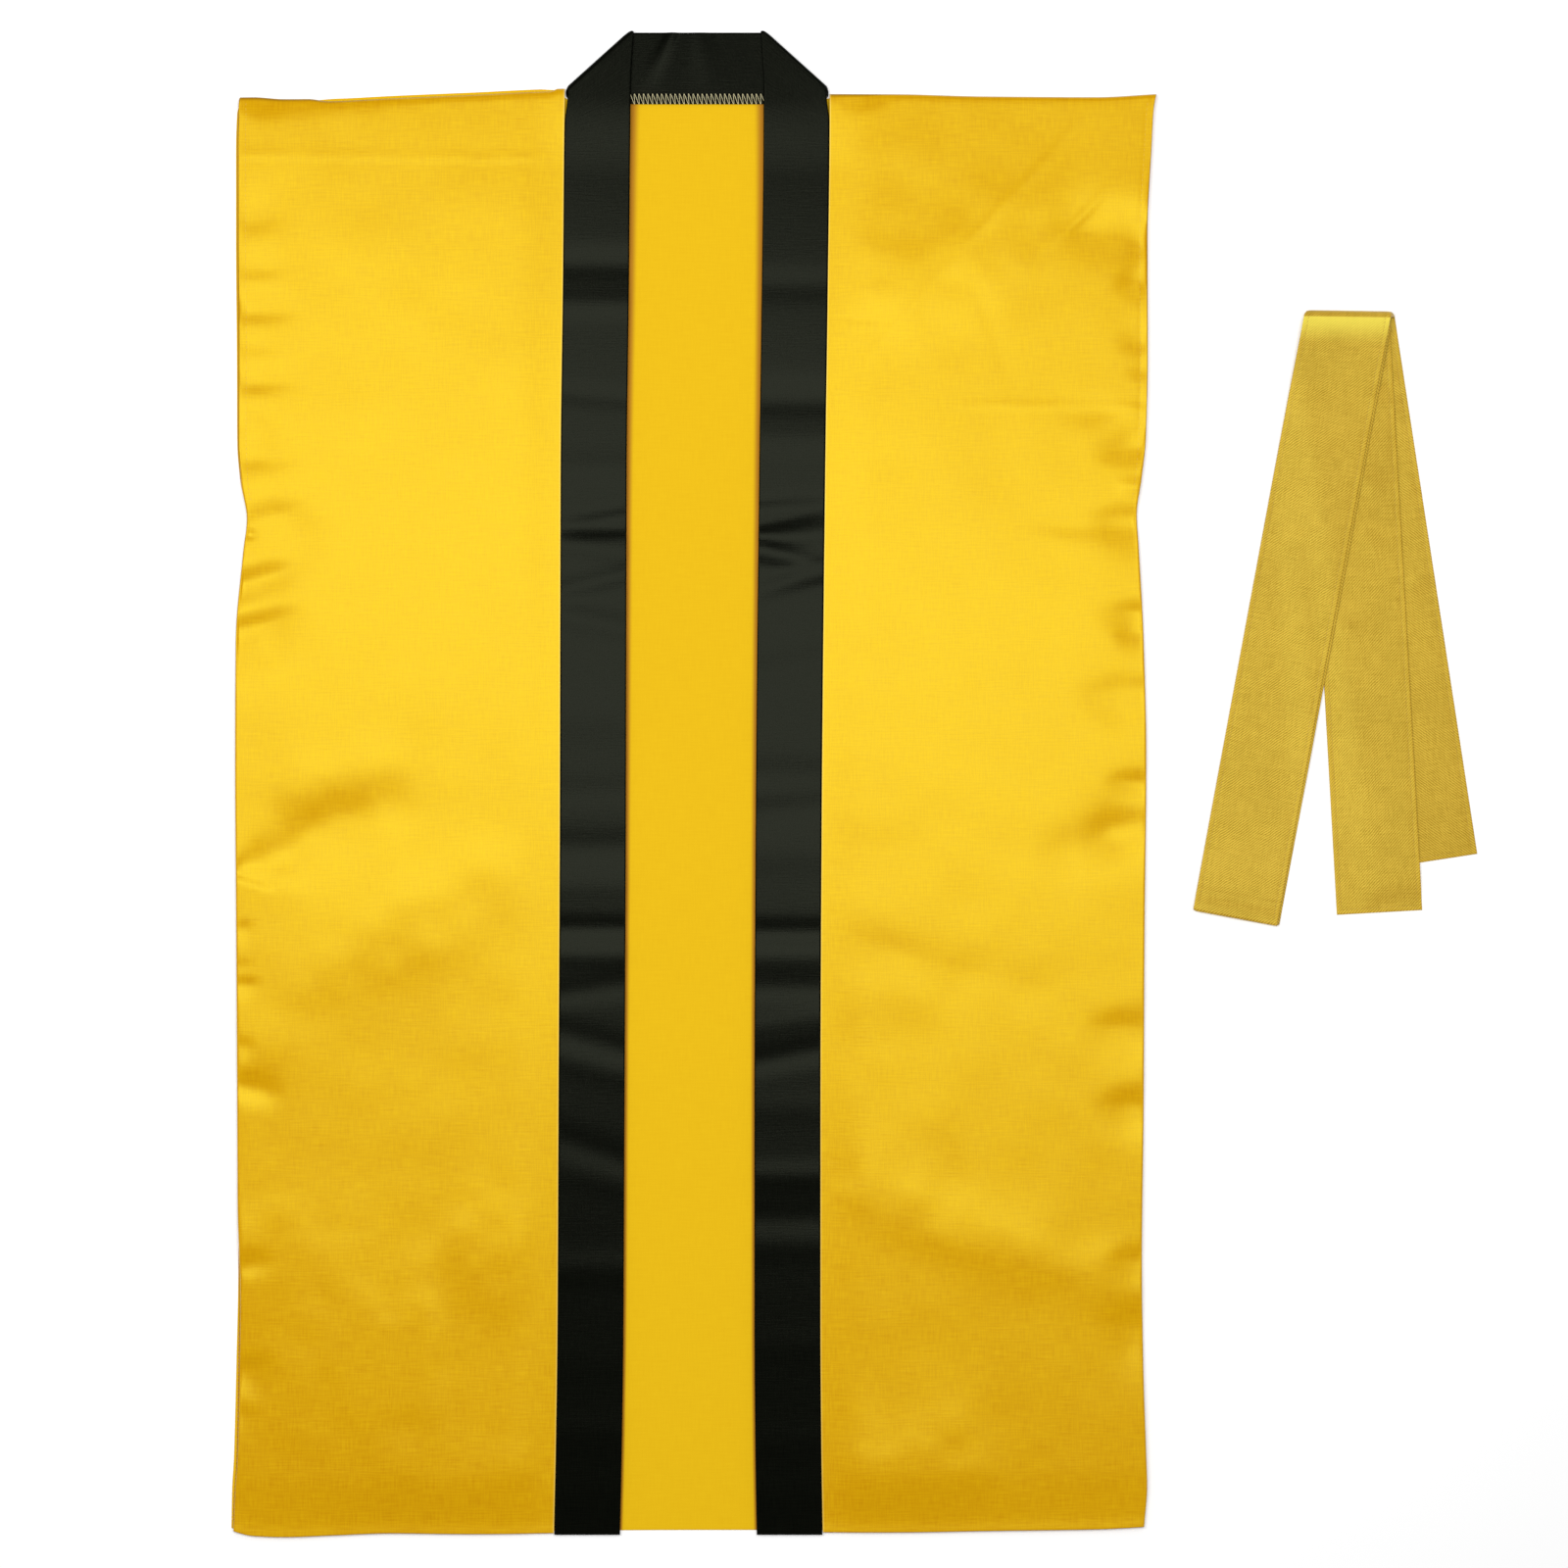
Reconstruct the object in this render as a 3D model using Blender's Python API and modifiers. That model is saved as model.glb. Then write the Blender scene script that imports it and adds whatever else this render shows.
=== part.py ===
"""A happi coat laid flat, face up, with its own belt folded in three legs beside it.

Metres, +Z up, the floor at z = 0. +X runs to the right as one looks down on the coat, +Y towards the collar,
so the wearer's right front lies on the -X side. The origin is under the middle of coat and belt together.

Garment measures in the tables are millimetres: "x" from the body's centre line, "down" from the shoulder line
towards the hem. Each cloth is a grid laid out by its cut, lifted by its folds and thickened by Solidify.
"""
import math
from collections import namedtuple

import bmesh
import bpy
from mathutils import Vector

MM = 0.001

# Thicknesses and clearances, in millimetres
CLOTH = 1.0
BAND_CLOTH = 2.0
GAP = 0.3
AIR_BETWEEN_LAYERS = 0.55

# The coat's place: its centre line and its shoulder line
COAT_X = -101.6
SHOULDER_Y = 434.7

# Collar band: one doubled strip, folded behind itself at 45 degrees at both shoulders
BAND_WIDTH = 41.5
BAND_HEM = 910.0
NECK_MIDDLE_DOWN = -19.0
BACK_NECK_DOWN = 2.1
NECK_HALF = 88.0
ALLOWANCE_TOP = -0.6
ALLOWANCE_WIDTH = 6.2
ALLOWANCE_REACH = 62.0
BAND_LOFT = 0.9
BAND_SETTLE = 50.0
MITRE_EASE = 60.0

# How finely each piece is divided, in millimetres between its rows or columns
ROW_SPACING = 19.5
COLUMN_SPACING = 15.0
BACK_ROW_SPACING = 41.0
BAND_ROW_SPACING = 14.0
BELT_ROW_SPACING = 21.0
FOLD_STEPS = 7

# Soft rolls of a front where it turns down to meet the back
SIDE_ROLL = 11.0
SHOULDER_ROLL = 9.0
HEM_ROLL = 30.0
SEAM_BLEND = 30.0
FRONT_LOFT = 2.3
FRONT_WIDTH = 207.0
HEM_LOFT = 0.8
MOST_LOFT = 3.5
ARMHOLE_DEPTH = 268.0
ARMHOLE_LOFT = 0.7
ARMHOLE_CLOSE = 40.0
HEM_BAND_LOFT = 0.3
ALLOWANCE_STEP = 2.5
TOP_BELOW_FRONT = 0.9
BACK_HEM_SHORT = 1.2

# Belt: one strip folded in half, then over at the top
BELT_X = 313.2
BELT_TOP_Y = 297.0
BELT_WIDTH = 54.0
BELT_TOP_PUFF = 3.0
BELT_INNER_PUFF = 1.2
BELT_END_PUFF = 1.2
PUFF_REACH = 55.0
LEDGE_START = 9.0
LEDGE_END = 27.0
BELT_EASE = 60.0
BELT_COLUMNS = 6
BELT_LAYER = CLOTH + AIR_BETWEEN_LAYERS
FOLD_LIFT = 0.35
FOLD_LIFT_REACH = 20.0

# Belt legs from the top fold: lean from straight down (+ to the right), length, and where the centre starts
Leg = namedtuple("Leg", "lean length start_x start_y")
RIGHT_LEG = Leg(8.75, 347.5, 1.4, -2.5)
MIDDLE_LEG = Leg(3.2, 372.0, -1.6, -7.5)
LEFT_LEG = Leg(-10.5, 384.5, -2.2, -3.0)
LEFT_UNDER_LEG = Leg(-10.5, 379.9, -1.4, -7.5)

COLOURS = {
    "satin_yellow": ((0.90, 0.62, 0.045, 1.0), 0.42, 0.1),
    "satin_inside": ((0.84, 0.52, 0.03, 1.0), 0.62, 0.0),
    "satin_black": ((0.018, 0.021, 0.016, 1.0), 0.45, 0.1),
    "belt_yellow": ((0.70, 0.45, 0.06, 1.0), 0.5, 0.1),
}

Side = namedtuple("Side", "down right left")
SIDES = [
    Side(0, -286.6, 292.6), Side(9, -288.8, 291.2), Side(32, -289.5, 290.0), Side(88, -289.5, 287.4),
    Side(165, -288.9, 287.6), Side(218, -288.7, 286.4), Side(245, -286.6, 283.6), Side(268, -282.2, 280.3),
    Side(290, -284.6, 281.6), Side(348, -289.3, 284.6), Side(423, -289.6, 286.3), Side(535, -288.9, 285.2),
    Side(646, -288.3, 284.6), Side(745, -288.0, 283.5), Side(807, -289.2, 284.3), Side(869, -290.8, 286.3),
    Side(888, -291.9, 286.9), Side(914, -292.4, 285.0),
]

# How far the back shows beyond each front at the sides
Peek = namedtuple("Peek", "down right left")
PEEKS = [
    Peek(0, 0.0, 0.0), Peek(14, 2.1, 0.4), Peek(120, 2.2, 0.8), Peek(225, 1.6, 0.5), Peek(268, 0.0, 0.0),
    Peek(700, 0.0, 0.0), Peek(770, 2.0, 0.0), Peek(860, 2.6, 0.0), Peek(914, 1.6, 0.0),
]

# Centre lines of the two upright bands
BandLine = namedtuple("BandLine", "down right left")
BAND_LINES = [
    BandLine(-19, -58.4, 63.3), BandLine(8, -60.3, 65.2), BandLine(125, -61.5, 64.0),
    BandLine(240, -62.9, 62.4), BandLine(460, -63.4, 60.2), BandLine(650, -64.3, 59.4),
    BandLine(780, -64.9, 59.4), BandLine(860, -66.0, 60.0), BandLine(914, -67.2, 60.9),
]

# The shoulder edge and the hem across the coat
Edge = namedtuple("Edge", "x shoulder hem")
EDGES = [
    Edge(-293, 1.4, 907.0), Edge(-278, 1.2, 910.6), Edge(-259, 2.4, 911.3), Edge(-228, 2.0, 910.2),
    Edge(-191, 0.2, 908.9), Edge(-141, -1.9, 909.4), Edge(-83, -4.2, 908.9), Edge(7, 0.0, 908.4),
    Edge(87, -0.8, 908.4), Edge(131, -0.6, 908.3), Edge(181, 0.7, 907.5), Edge(255, 1.2, 906.4),
    Edge(293, -0.8, 904.4),
]

# Folds of the fronts, each a soft ridge (+) or trough (-) along a line: its ends, half width and height
Fold = namedtuple("Fold", "x0 down0 x1 down1 width height")
RIGHT_FOLDS = [
    Fold(-279, 269, -253, 254, 6, -1.8), Fold(-274, 258, -250, 240, 7, 0.9),
    Fold(-287, 312, -255, 299, 9, -1.9), Fold(-289, 336, -262, 323, 9, -1.8),
    Fold(-280, 349, -246, 338, 9, 0.8), Fold(-247, 312, -222, 298, 9, -0.9),
    Fold(-285, 484, -234, 448, 10, -2.1), Fold(-234, 448, -179, 411, 12, -1.4),
    Fold(-284, 498, -236, 505, 11, 1.0), Fold(-262, 446, -212, 418, 13, 0.8),
    Fold(-241, 568, -179, 536, 17, -1.6), Fold(-179, 536, -148, 520, 15, -1.2),
    Fold(-224, 584, -150, 548, 16, 0.8), Fold(-284, 620, -266, 618, 7, -1.2),
    Fold(-284, 741, -264, 734, 7, -1.2), Fold(-282, 753, -262, 749, 7, 0.9),
    Fold(-234, 809, -222, 778, 8, -0.8), Fold(-157, 772, -148, 704, 8, -0.8),
    Fold(-281, 85, -262, 86, 6, -0.6), Fold(-281, 140, -258, 143, 6, -0.8),
    Fold(-281, 190, -262, 188, 6, -0.6),
]
LEFT_FOLDS = [
    Fold(247, 13, 154, 118, 8, 1.1), Fold(154, 118, 92, 192, 10, 0.8), Fold(232, 8, 142, 112, 10, -0.9),
    Fold(265, 38, 210, 106, 9, -1.0), Fold(169, 115, 203, 192, 14, -1.2),
    Fold(203, 192, 222, 242, 12, -1.0), Fold(85, 140, 130, 143, 7, -0.7),
    Fold(176, 197, 280, 200, 8, -1.0), Fold(271, 84, 271, 156, 8, -2.0), Fold(262, 90, 258, 150, 8, 0.8),
    Fold(283, 177, 266, 177, 6, -0.8), Fold(282, 223, 262, 223, 6, -0.9),
    Fold(278, 265, 256, 252, 6, -1.8), Fold(228, 470, 278, 452, 10, -1.7),
    Fold(222, 452, 268, 436, 11, 0.8), Fold(111, 525, 167, 547, 13, -1.1),
    Fold(167, 547, 222, 559, 13, -1.4), Fold(222, 559, 278, 571, 11, -1.2),
    Fold(118, 504, 226, 540, 15, 0.8), Fold(117, 700, 185, 728, 12, -1.9),
    Fold(185, 728, 271, 752, 12, -2.1), Fold(122, 678, 188, 704, 14, 1.0),
    Fold(188, 704, 268, 728, 13, 1.0), Fold(150, 664, 176, 672, 9, -0.8),
    Fold(282, 322, 262, 318, 6, -0.8), Fold(282, 372, 264, 370, 6, -0.8),
    Fold(96, 834, 178, 846, 16, 0.8),
]

# Dents across the upright bands: place, half length along the band, depth, and how far it leans across it
Dent = namedtuple("Dent", "down width height lean")
RIGHT_BAND_DENTS = [
    Dent(107, 9, -0.5, 0), Dent(132, 9, 0.4, 0), Dent(266, 10, -0.5, -6), Dent(328, 12, -0.4, 4),
    Dent(470, 13, -0.6, 0), Dent(522, 9, -0.9, 0), Dent(560, 10, -0.5, 0), Dent(593, 9, -0.7, 10),
    Dent(661, 10, -0.6, 9), Dent(742, 13, 0.4, 0), Dent(846, 13, 0.4, 0),
]
LEFT_BAND_DENTS = [
    Dent(187, 12, -0.5, 0), Dent(260, 9, -0.9, 3), Dent(288, 8, -0.6, -6), Dent(303, 8, -0.5, 8),
    Dent(442, 16, -0.7, 0), Dent(524, 9, -0.9, 0), Dent(560, 9, -0.5, 0), Dent(602, 10, -0.6, 4),
    Dent(683, 10, 0.5, 0), Dent(706, 9, -0.6, 0), Dent(725, 9, 0.4, 0),
]


def smooth(t):
    """0 below t = 0, 1 above t = 1, with a level start and end."""
    t = min(max(t, 0.0), 1.0)
    return t * t * (3.0 - 2.0 * t)


def roll(distance, radius):
    """Height, 0 to 1, of a quarter-round edge at a distance in from it."""
    t = min(max(distance / radius, 0.0), 1.0)
    return math.sqrt(1.0 - (1.0 - t) ** 2)


def read(rows, key, column, at):
    """The column's value at a place along a table, on a smooth curve through its rows."""
    places = [getattr(row, key) for row in rows]
    values = [getattr(row, column) for row in rows]
    if at <= places[0]:
        return values[0]
    if at >= places[-1]:
        return values[-1]
    i = max(n for n, place in enumerate(places) if place <= at)
    span = places[i + 1] - places[i]
    rise = (values[i + 1] - values[i]) / span
    before = (values[i] - values[i - 1]) / (places[i] - places[i - 1]) if i > 0 else rise
    after = (values[i + 2] - values[i + 1]) / (places[i + 2] - places[i + 1]) if i + 2 < len(rows) else rise
    start = 0.0 if before * rise <= 0 else 2.0 * before * rise / (before + rise)
    end = 0.0 if after * rise <= 0 else 2.0 * after * rise / (after + rise)
    t = (at - places[i]) / span
    straight = values[i] * (1 - t) ** 2 * (1 + 2 * t) + values[i + 1] * t * t * (3 - 2 * t)
    return straight + span * (start * t * (1 - t) ** 2 - end * t * t * (1 - t))


def fold_height(folds, x, down):
    """Sum of the folds' heights at a point, each fading out round its line."""
    height = 0.0
    for fold in folds:
        run = Vector((fold.x1 - fold.x0, fold.down1 - fold.down0))
        to_point = Vector((x - fold.x0, down - fold.down0))
        t = min(max(to_point.dot(run) / run.length_squared, 0.0), 1.0)
        distance = (to_point - run * t).length
        height += fold.height * math.exp(-((distance / fold.width) ** 2))
    return height


def dent_height(dents, across, down):
    """Sum of a band's dents at a place across it (-1 to 1) and down it."""
    return sum(d.height * math.exp(-(((down - d.down - d.lean * across) / d.width) ** 2)) for d in dents)


def allowance_underside(down):
    """Height of the allowance's underside: over the neck band's edge, then down onto the back."""
    over_band = BAND_CLOTH + GAP
    over_back = CLOTH + GAP
    return over_band + (over_back - over_band) * smooth((down - BACK_NECK_DOWN) / ALLOWANCE_STEP)


def band_underside(dents, across, down):
    """Height of an upright band's underside: over the neck allowance at the top, then down onto the back."""
    over_allowance = allowance_underside(ALLOWANCE_TOP) + CLOTH + GAP
    over_back = CLOTH + GAP + BAND_LOFT
    settled = smooth((down - BACK_NECK_DOWN) / BAND_SETTLE)
    at_hem = smooth((BAND_HEM - down) / HEM_ROLL)
    lying = over_back + dent_height(dents, across, down)
    lying = CLOTH + GAP + (lying - CLOTH - GAP) * (HEM_BAND_LOFT + (1.0 - HEM_BAND_LOFT) * at_hem)
    return over_allowance + (max(lying, CLOTH + GAP) - over_allowance) * settled


def side_edge(side, down):
    """How far a front's side edge is from the centre line: the outline, less what the back shows beyond it."""
    return abs(read(SIDES, "down", side, down)) - read(PEEKS, "down", side, down)


def front_underside(side, folds, dents, x, down):
    """Height of a front's underside over the floor: the back, a gap, and the air that its folds hold."""
    band = read(BAND_LINES, "down", side, down)
    seam = abs(x - band) - BAND_WIDTH / 2
    edge = side_edge(side, down) - abs(x)
    shoulder = down - read(EDGES, "x", "shoulder", x)
    hem = read(EDGES, "x", "hem", x) - down
    open_side = smooth((ARMHOLE_DEPTH - SIDE_ROLL - down) / ARMHOLE_CLOSE)
    edge_loft = ARMHOLE_LOFT * open_side * smooth(shoulder / ARMHOLE_CLOSE)
    loft = min(FRONT_LOFT + fold_height(folds, x, down), MOST_LOFT)
    loft = edge_loft + (loft - edge_loft) * roll(edge, SIDE_ROLL)
    loft = HEM_LOFT + (loft - HEM_LOFT) * smooth(hem / HEM_ROLL)
    beside = band_underside(dents, 0.0, down) + (BAND_CLOTH - CLOTH) / 2 - CLOTH - GAP
    loft = beside + (loft - beside) * smooth(seam / SEAM_BLEND)
    loft = loft * roll(shoulder, SHOULDER_ROLL)
    return CLOTH + GAP + max(loft, 0.0)


def stations(length, spacing, near_start=(), near_end=()):
    """Places from 0 to length: even ones between the finer ones that are asked for near the two ends."""
    first = max(near_start, default=0.0)
    last = length - max(near_end, default=0.0)
    count = max(1, round((last - first) / spacing))
    even = [first + (last - first) * n / count for n in range(count + 1)]
    every = [0.0, length, *near_start, *(length - d for d in near_end), *even]
    return sorted({round(place_along, 6) for place_along in every})


def grid_object(name, points, material, thickness):
    """A cloth piece: a grid moved to its rows of points, then given its thickness on both sides."""
    rows = len(points)
    columns = len(points[0])
    mesh = bpy.data.meshes.new(name)
    bm = bmesh.new()
    bmesh.ops.create_grid(bm, x_segments=columns - 1, y_segments=rows - 1, size=0.5)
    ordered = sorted(bm.verts, key=lambda v: (round((v.co.y + 0.5) * (rows - 1)), v.co.x))
    for n, vert in enumerate(ordered):
        x, y, z = points[n // columns][n % columns]
        vert.co = Vector((x, y, z)) * MM
    bmesh.ops.recalc_face_normals(bm, faces=bm.faces)
    bm.to_mesh(mesh)
    bm.free()
    mesh.materials.append(material)
    piece = bpy.data.objects.new(name, mesh)
    wall = piece.modifiers.new("Wall", "SOLIDIFY")
    wall.thickness = thickness * MM
    wall.offset = 0.0
    wall.use_even_offset = True
    return piece


def place(x, down):
    """A garment point's X and Y on the floor, in millimetres."""
    return COAT_X + x, SHOULDER_Y - down


def back_panel(material):
    """The back: flat on the floor from the shoulder line to the hem."""
    points = []
    length = SIDES[-1].down
    for level in stations(length, BACK_ROW_SPACING, (9.0, 23.0)):
        low = read(SIDES, "down", "right", level)
        high = read(SIDES, "down", "left", level)
        right_half = [low * share for share in (1.0, 0.8, 0.6, 0.4)]
        left_half = [high * share for share in (0.4, 0.6, 0.8, 1.0)]
        row = []
        for x in (*right_half, -NECK_HALF, 0.0, NECK_HALF, *left_half):
            top = read(EDGES, "x", "shoulder", x) + TOP_BELOW_FRONT
            if abs(x) <= NECK_HALF:
                top = BACK_NECK_DOWN
            bottom = read(EDGES, "x", "hem", x) - BACK_HEM_SHORT
            row.append((*place(x, top + (bottom - top) * level / length), CLOTH / 2))
        points.append(row)
    return grid_object("back_panel", points, material, CLOTH)


def front(name, side, folds, dents, material):
    """One front, from its band seam out to its side edge, with the folds that lie in it."""
    points = []
    length = SIDES[-1].down
    for level in stations(length, ROW_SPACING, (2.5, 7.0), (11.0,)):
        toward = math.copysign(1.0, read(SIDES, "down", side, level))
        outer = side_edge(side, level) * toward
        band = read(BAND_LINES, "down", side, max(level, BAND_LINES[1].down))
        inner = band + toward * (BAND_WIDTH / 2 + GAP)
        row = []
        for out in stations(FRONT_WIDTH, COLUMN_SPACING, (), (1.5, 4.5, 10.0)):
            x = inner + (outer - inner) * out / FRONT_WIDTH
            top = read(EDGES, "x", "shoulder", x)
            bottom = read(EDGES, "x", "hem", x)
            down = top + (bottom - top) * level / length
            row.append((*place(x, down), front_underside(side, folds, dents, x, down) + CLOTH / 2))
        points.append(row)
    return grid_object(name, points, material, CLOTH)


def neck_seam_allowance(material):
    """The serged allowance of the neck seam, lying on the back's inside."""
    points = []
    for step in range(5):
        down = ALLOWANCE_TOP + ALLOWANCE_WIDTH * step / 4
        row = []
        for n in range(5):
            x = ALLOWANCE_REACH * (n / 2 - 1)
            row.append((*place(x, down), allowance_underside(down) + CLOTH / 2))
        points.append(row)
    return grid_object("neck_seam_allowance", points, material, CLOTH)


def turn_over(first, second, outward):
    """Rows round a fold, from one layer's last row to the next layer's first, bulging past the fold line."""
    rows = []
    for n in range(1, FOLD_STEPS):
        turn = math.pi * n / FOLD_STEPS
        share = (1.0 - math.cos(turn)) / 2
        row = []
        for start, end in zip(first, second):
            bulge = outward * abs(start[2] - end[2]) / 2 * math.sin(turn)
            point = Vector(start).lerp(Vector(end), share)
            row.append((point.x + bulge.x, point.y + bulge.y, point.z))
        rows.append(row)
    return rows


def upright_row(side, dents, columns, down):
    """A row across an upright band, square to it lower down and along the 45 degree fold at its top."""
    skew = smooth((MITRE_EASE - (down - NECK_MIDDLE_DOWN)) / MITRE_EASE)
    middle = read(BAND_LINES, "down", side, down)
    toward = 1.0 if side == "right" else -1.0
    row = []
    for v in columns:
        here = down - v * skew
        z = band_underside(dents, 2.0 * v / BAND_WIDTH, max(here, 0.0)) + BAND_CLOTH / 2
        row.append((*place(middle + v * toward, here), z))
    return row


def collar_band(material):
    """The collar: up the right front, behind itself at 45 degrees, along the neck and down the left front."""
    columns = [BAND_WIDTH * share for share in (-0.5, -0.28, 0.0, 0.28, 0.5)]
    levels = stations(BAND_HEM - NECK_MIDDLE_DOWN, BAND_ROW_SPACING, (9.0, 19.0, 30.0, 42.0), (8.0,))
    climb = [NECK_MIDDLE_DOWN + level for level in levels]
    right = [upright_row("right", RIGHT_BAND_DENTS, columns, down) for down in reversed(climb)]
    left = [upright_row("left", LEFT_BAND_DENTS, columns, down) for down in climb]
    start, end = BAND_LINES[0].right, BAND_LINES[0].left
    neck = []
    for along in stations(end - start, BAND_ROW_SPACING):
        skew = 1.0 - 2.0 * along / (end - start)
        middle = Vector(place(start + along, NECK_MIDDLE_DOWN))
        neck.append([(middle.x + v * skew, middle.y + v, BAND_CLOTH / 2) for v in columns])
    slant = math.sqrt(0.5)
    right_fold = turn_over(right[-1], neck[0], Vector((-slant, slant)))
    left_fold = turn_over(neck[-1], left[0], Vector((slant, slant)))
    return grid_object("collar_band", right + right_fold + neck + left_fold + left, material, BAND_CLOTH)


def leg_axes(leg):
    """The leg's start, its direction down the floor and its direction across, as 2D vectors."""
    angle = math.radians(leg.lean)
    start = Vector((BELT_X + leg.start_x, BELT_TOP_Y + leg.start_y))
    return start, Vector((math.sin(angle), -math.cos(angle))), Vector((math.cos(angle), math.sin(angle)))


def under_leg(leg, point):
    """1 where a leg lies under a point, falling softly to 0 beside it."""
    start, along, across = leg_axes(leg)
    offset = point - start
    outside = max(abs(offset.dot(across)) - BELT_WIDTH / 2, offset.dot(along) - leg.length, 0.0)
    return 1.0 - smooth((outside - LEDGE_START) / (LEDGE_END - LEDGE_START))


def right_leg_height(point, run):
    """The right leg lies on the floor, a little clear of it where it turns up into the top fold."""
    return FOLD_LIFT * smooth(1.0 - run / FOLD_LIFT_REACH)


def middle_leg_height(point, run):
    """The middle leg lies over the right one and comes down to the floor beside it."""
    return BELT_LAYER * under_leg(RIGHT_LEG, point)


def left_under_height(point, run):
    """The left leg's under layer lies over both other legs, and puffs up into the inner fold."""
    puff = BELT_INNER_PUFF * smooth(1.0 - run / PUFF_REACH)
    lift = FOLD_LIFT * smooth(1.0 - (LEFT_LEG.length - run) / FOLD_LIFT_REACH)
    return middle_leg_height(point, run) + BELT_LAYER * under_leg(MIDDLE_LEG, point) + puff + lift


def left_top_height(point, run):
    """The left leg's top layer lies on its under layer, with more air near its two folds."""
    at_top = (BELT_TOP_PUFF - BELT_INNER_PUFF) * smooth(1.0 - run / PUFF_REACH)
    at_bottom = BELT_END_PUFF * smooth(1.0 - (LEFT_LEG.length - run) / PUFF_REACH)
    return left_under_height(point, run) + BELT_LAYER + at_top + at_bottom


def leg_rows(leg, fold_lean, height):
    """Rows down a leg from the top fold, turning from the fold's line to square across the leg."""
    start, along, across = leg_axes(leg)
    skew = math.tan(math.radians(fold_lean - leg.lean))
    rows = []
    for run in stations(leg.length, BELT_ROW_SPACING, (6.0, 14.0), (5.0,)):
        eased = skew * smooth(1.0 - run / BELT_EASE)
        row = []
        for n in range(BELT_COLUMNS + 1):
            v = BELT_WIDTH * (n / BELT_COLUMNS - 0.5)
            point = start + along * (run - v * eased) + across * v
            row.append((point.x, point.y, height(point, run) + CLOTH / 2))
        rows.append(row)
    return rows


def up_the_floor(lean):
    """The direction that points up a leg with this lean, away from its free end."""
    angle = math.radians(lean)
    return Vector((-math.sin(angle), math.cos(angle)))


def belt(material):
    """The belt, one strip: right leg, over the top, left leg down and back up, over inside it, middle leg."""
    outer_lean = (RIGHT_LEG.lean + LEFT_LEG.lean) / 2
    inner_lean = (MIDDLE_LEG.lean + LEFT_LEG.lean) / 2
    right = leg_rows(RIGHT_LEG, outer_lean, right_leg_height)
    top = leg_rows(LEFT_LEG, outer_lean, left_top_height)
    under = leg_rows(LEFT_UNDER_LEG, inner_lean, left_under_height)
    middle = leg_rows(MIDDLE_LEG, inner_lean, middle_leg_height)
    points = right[::-1] + turn_over(right[0], top[0], up_the_floor(outer_lean)) + top
    points += turn_over(top[-1], under[-1], -up_the_floor(LEFT_LEG.lean)) + under[::-1]
    points += turn_over(under[0], middle[0], up_the_floor(inner_lean)) + middle
    return grid_object("belt", points, material, CLOTH)


def satin(name):
    """A cloth material from the table of colours."""
    colour, roughness, metallic = COLOURS[name]
    material = bpy.data.materials.new(name)
    material.use_nodes = True
    shader = material.node_tree.nodes["Principled BSDF"]
    shader.inputs["Base Color"].default_value = colour
    shader.inputs["Roughness"].default_value = roughness
    shader.inputs["Metallic"].default_value = metallic
    material.diffuse_color = colour
    return material


def main():
    """Clears the scene and lays out the coat and its belt."""
    for old in list(bpy.data.objects):
        bpy.data.objects.remove(old, do_unlink=True)
    collection = bpy.data.collections.new("happi_coat")
    bpy.context.scene.collection.children.link(collection)
    yellow = satin("satin_yellow")
    black = satin("satin_black")
    pieces = [
        back_panel(satin("satin_inside")),
        front("right_front", "right", RIGHT_FOLDS, RIGHT_BAND_DENTS, yellow),
        front("left_front", "left", LEFT_FOLDS, LEFT_BAND_DENTS, yellow),
        collar_band(black),
        neck_seam_allowance(black),
        belt(satin("belt_yellow")),
    ]
    for piece in pieces:
        collection.objects.link(piece)


main()
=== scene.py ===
"""The looks of a happi coat laid flat, face up, with its own folded belt beside it.

Metres in the scene and millimetres in the tables. A place on the coat is x, out from its centre line with the
wearer's right negative, and down, from the shoulder line towards the hem. Each cloth is a grid laid along the
cut of the solid it stands for, creased more finely and given the thickness of real satin.
"""
import logging
import math
from bisect import bisect_right
from dataclasses import dataclass, field
from enum import Enum
from functools import cache, cached_property
from typing import Callable, Iterable, NamedTuple, Sequence

import bmesh
import bpy
from mathutils import Matrix, Vector, noise


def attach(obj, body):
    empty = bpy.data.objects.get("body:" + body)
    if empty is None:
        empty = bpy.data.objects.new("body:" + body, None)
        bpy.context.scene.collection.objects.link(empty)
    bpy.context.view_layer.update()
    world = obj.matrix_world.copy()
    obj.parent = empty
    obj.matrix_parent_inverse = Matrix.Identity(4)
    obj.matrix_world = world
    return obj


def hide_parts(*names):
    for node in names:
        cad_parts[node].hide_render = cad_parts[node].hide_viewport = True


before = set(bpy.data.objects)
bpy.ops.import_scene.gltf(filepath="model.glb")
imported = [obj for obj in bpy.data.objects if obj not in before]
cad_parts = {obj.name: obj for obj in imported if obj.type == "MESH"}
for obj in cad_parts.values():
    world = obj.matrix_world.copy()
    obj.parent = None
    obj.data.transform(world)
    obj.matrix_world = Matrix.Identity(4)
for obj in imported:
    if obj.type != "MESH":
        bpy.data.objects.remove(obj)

LOG = logging.getLogger("happi")
MM = 0.001
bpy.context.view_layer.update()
# Seeds the small wander of the creases, which would differ from run to run without it.
SEED = 7
# A distance in millimetres that no tint reaches.
FAR_OFF = 1000.0
# How many times its reach away a crease's flank still adds height.
FADED = 2.6
# A softly turned value lies at most this many eases past its limit, so that its exponent stays small.
LARGEST_EXPONENT = 40.0

Point = tuple[float, float]
Steps = tuple[float, ...]
Colour = tuple[float, float, float, float]
# A layer's height at a point, by how far along the layer it is.
Height = Callable[[Vector, float], float]
Piece = bpy.types.Object
Socket = bpy.types.NodeSocket


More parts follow.
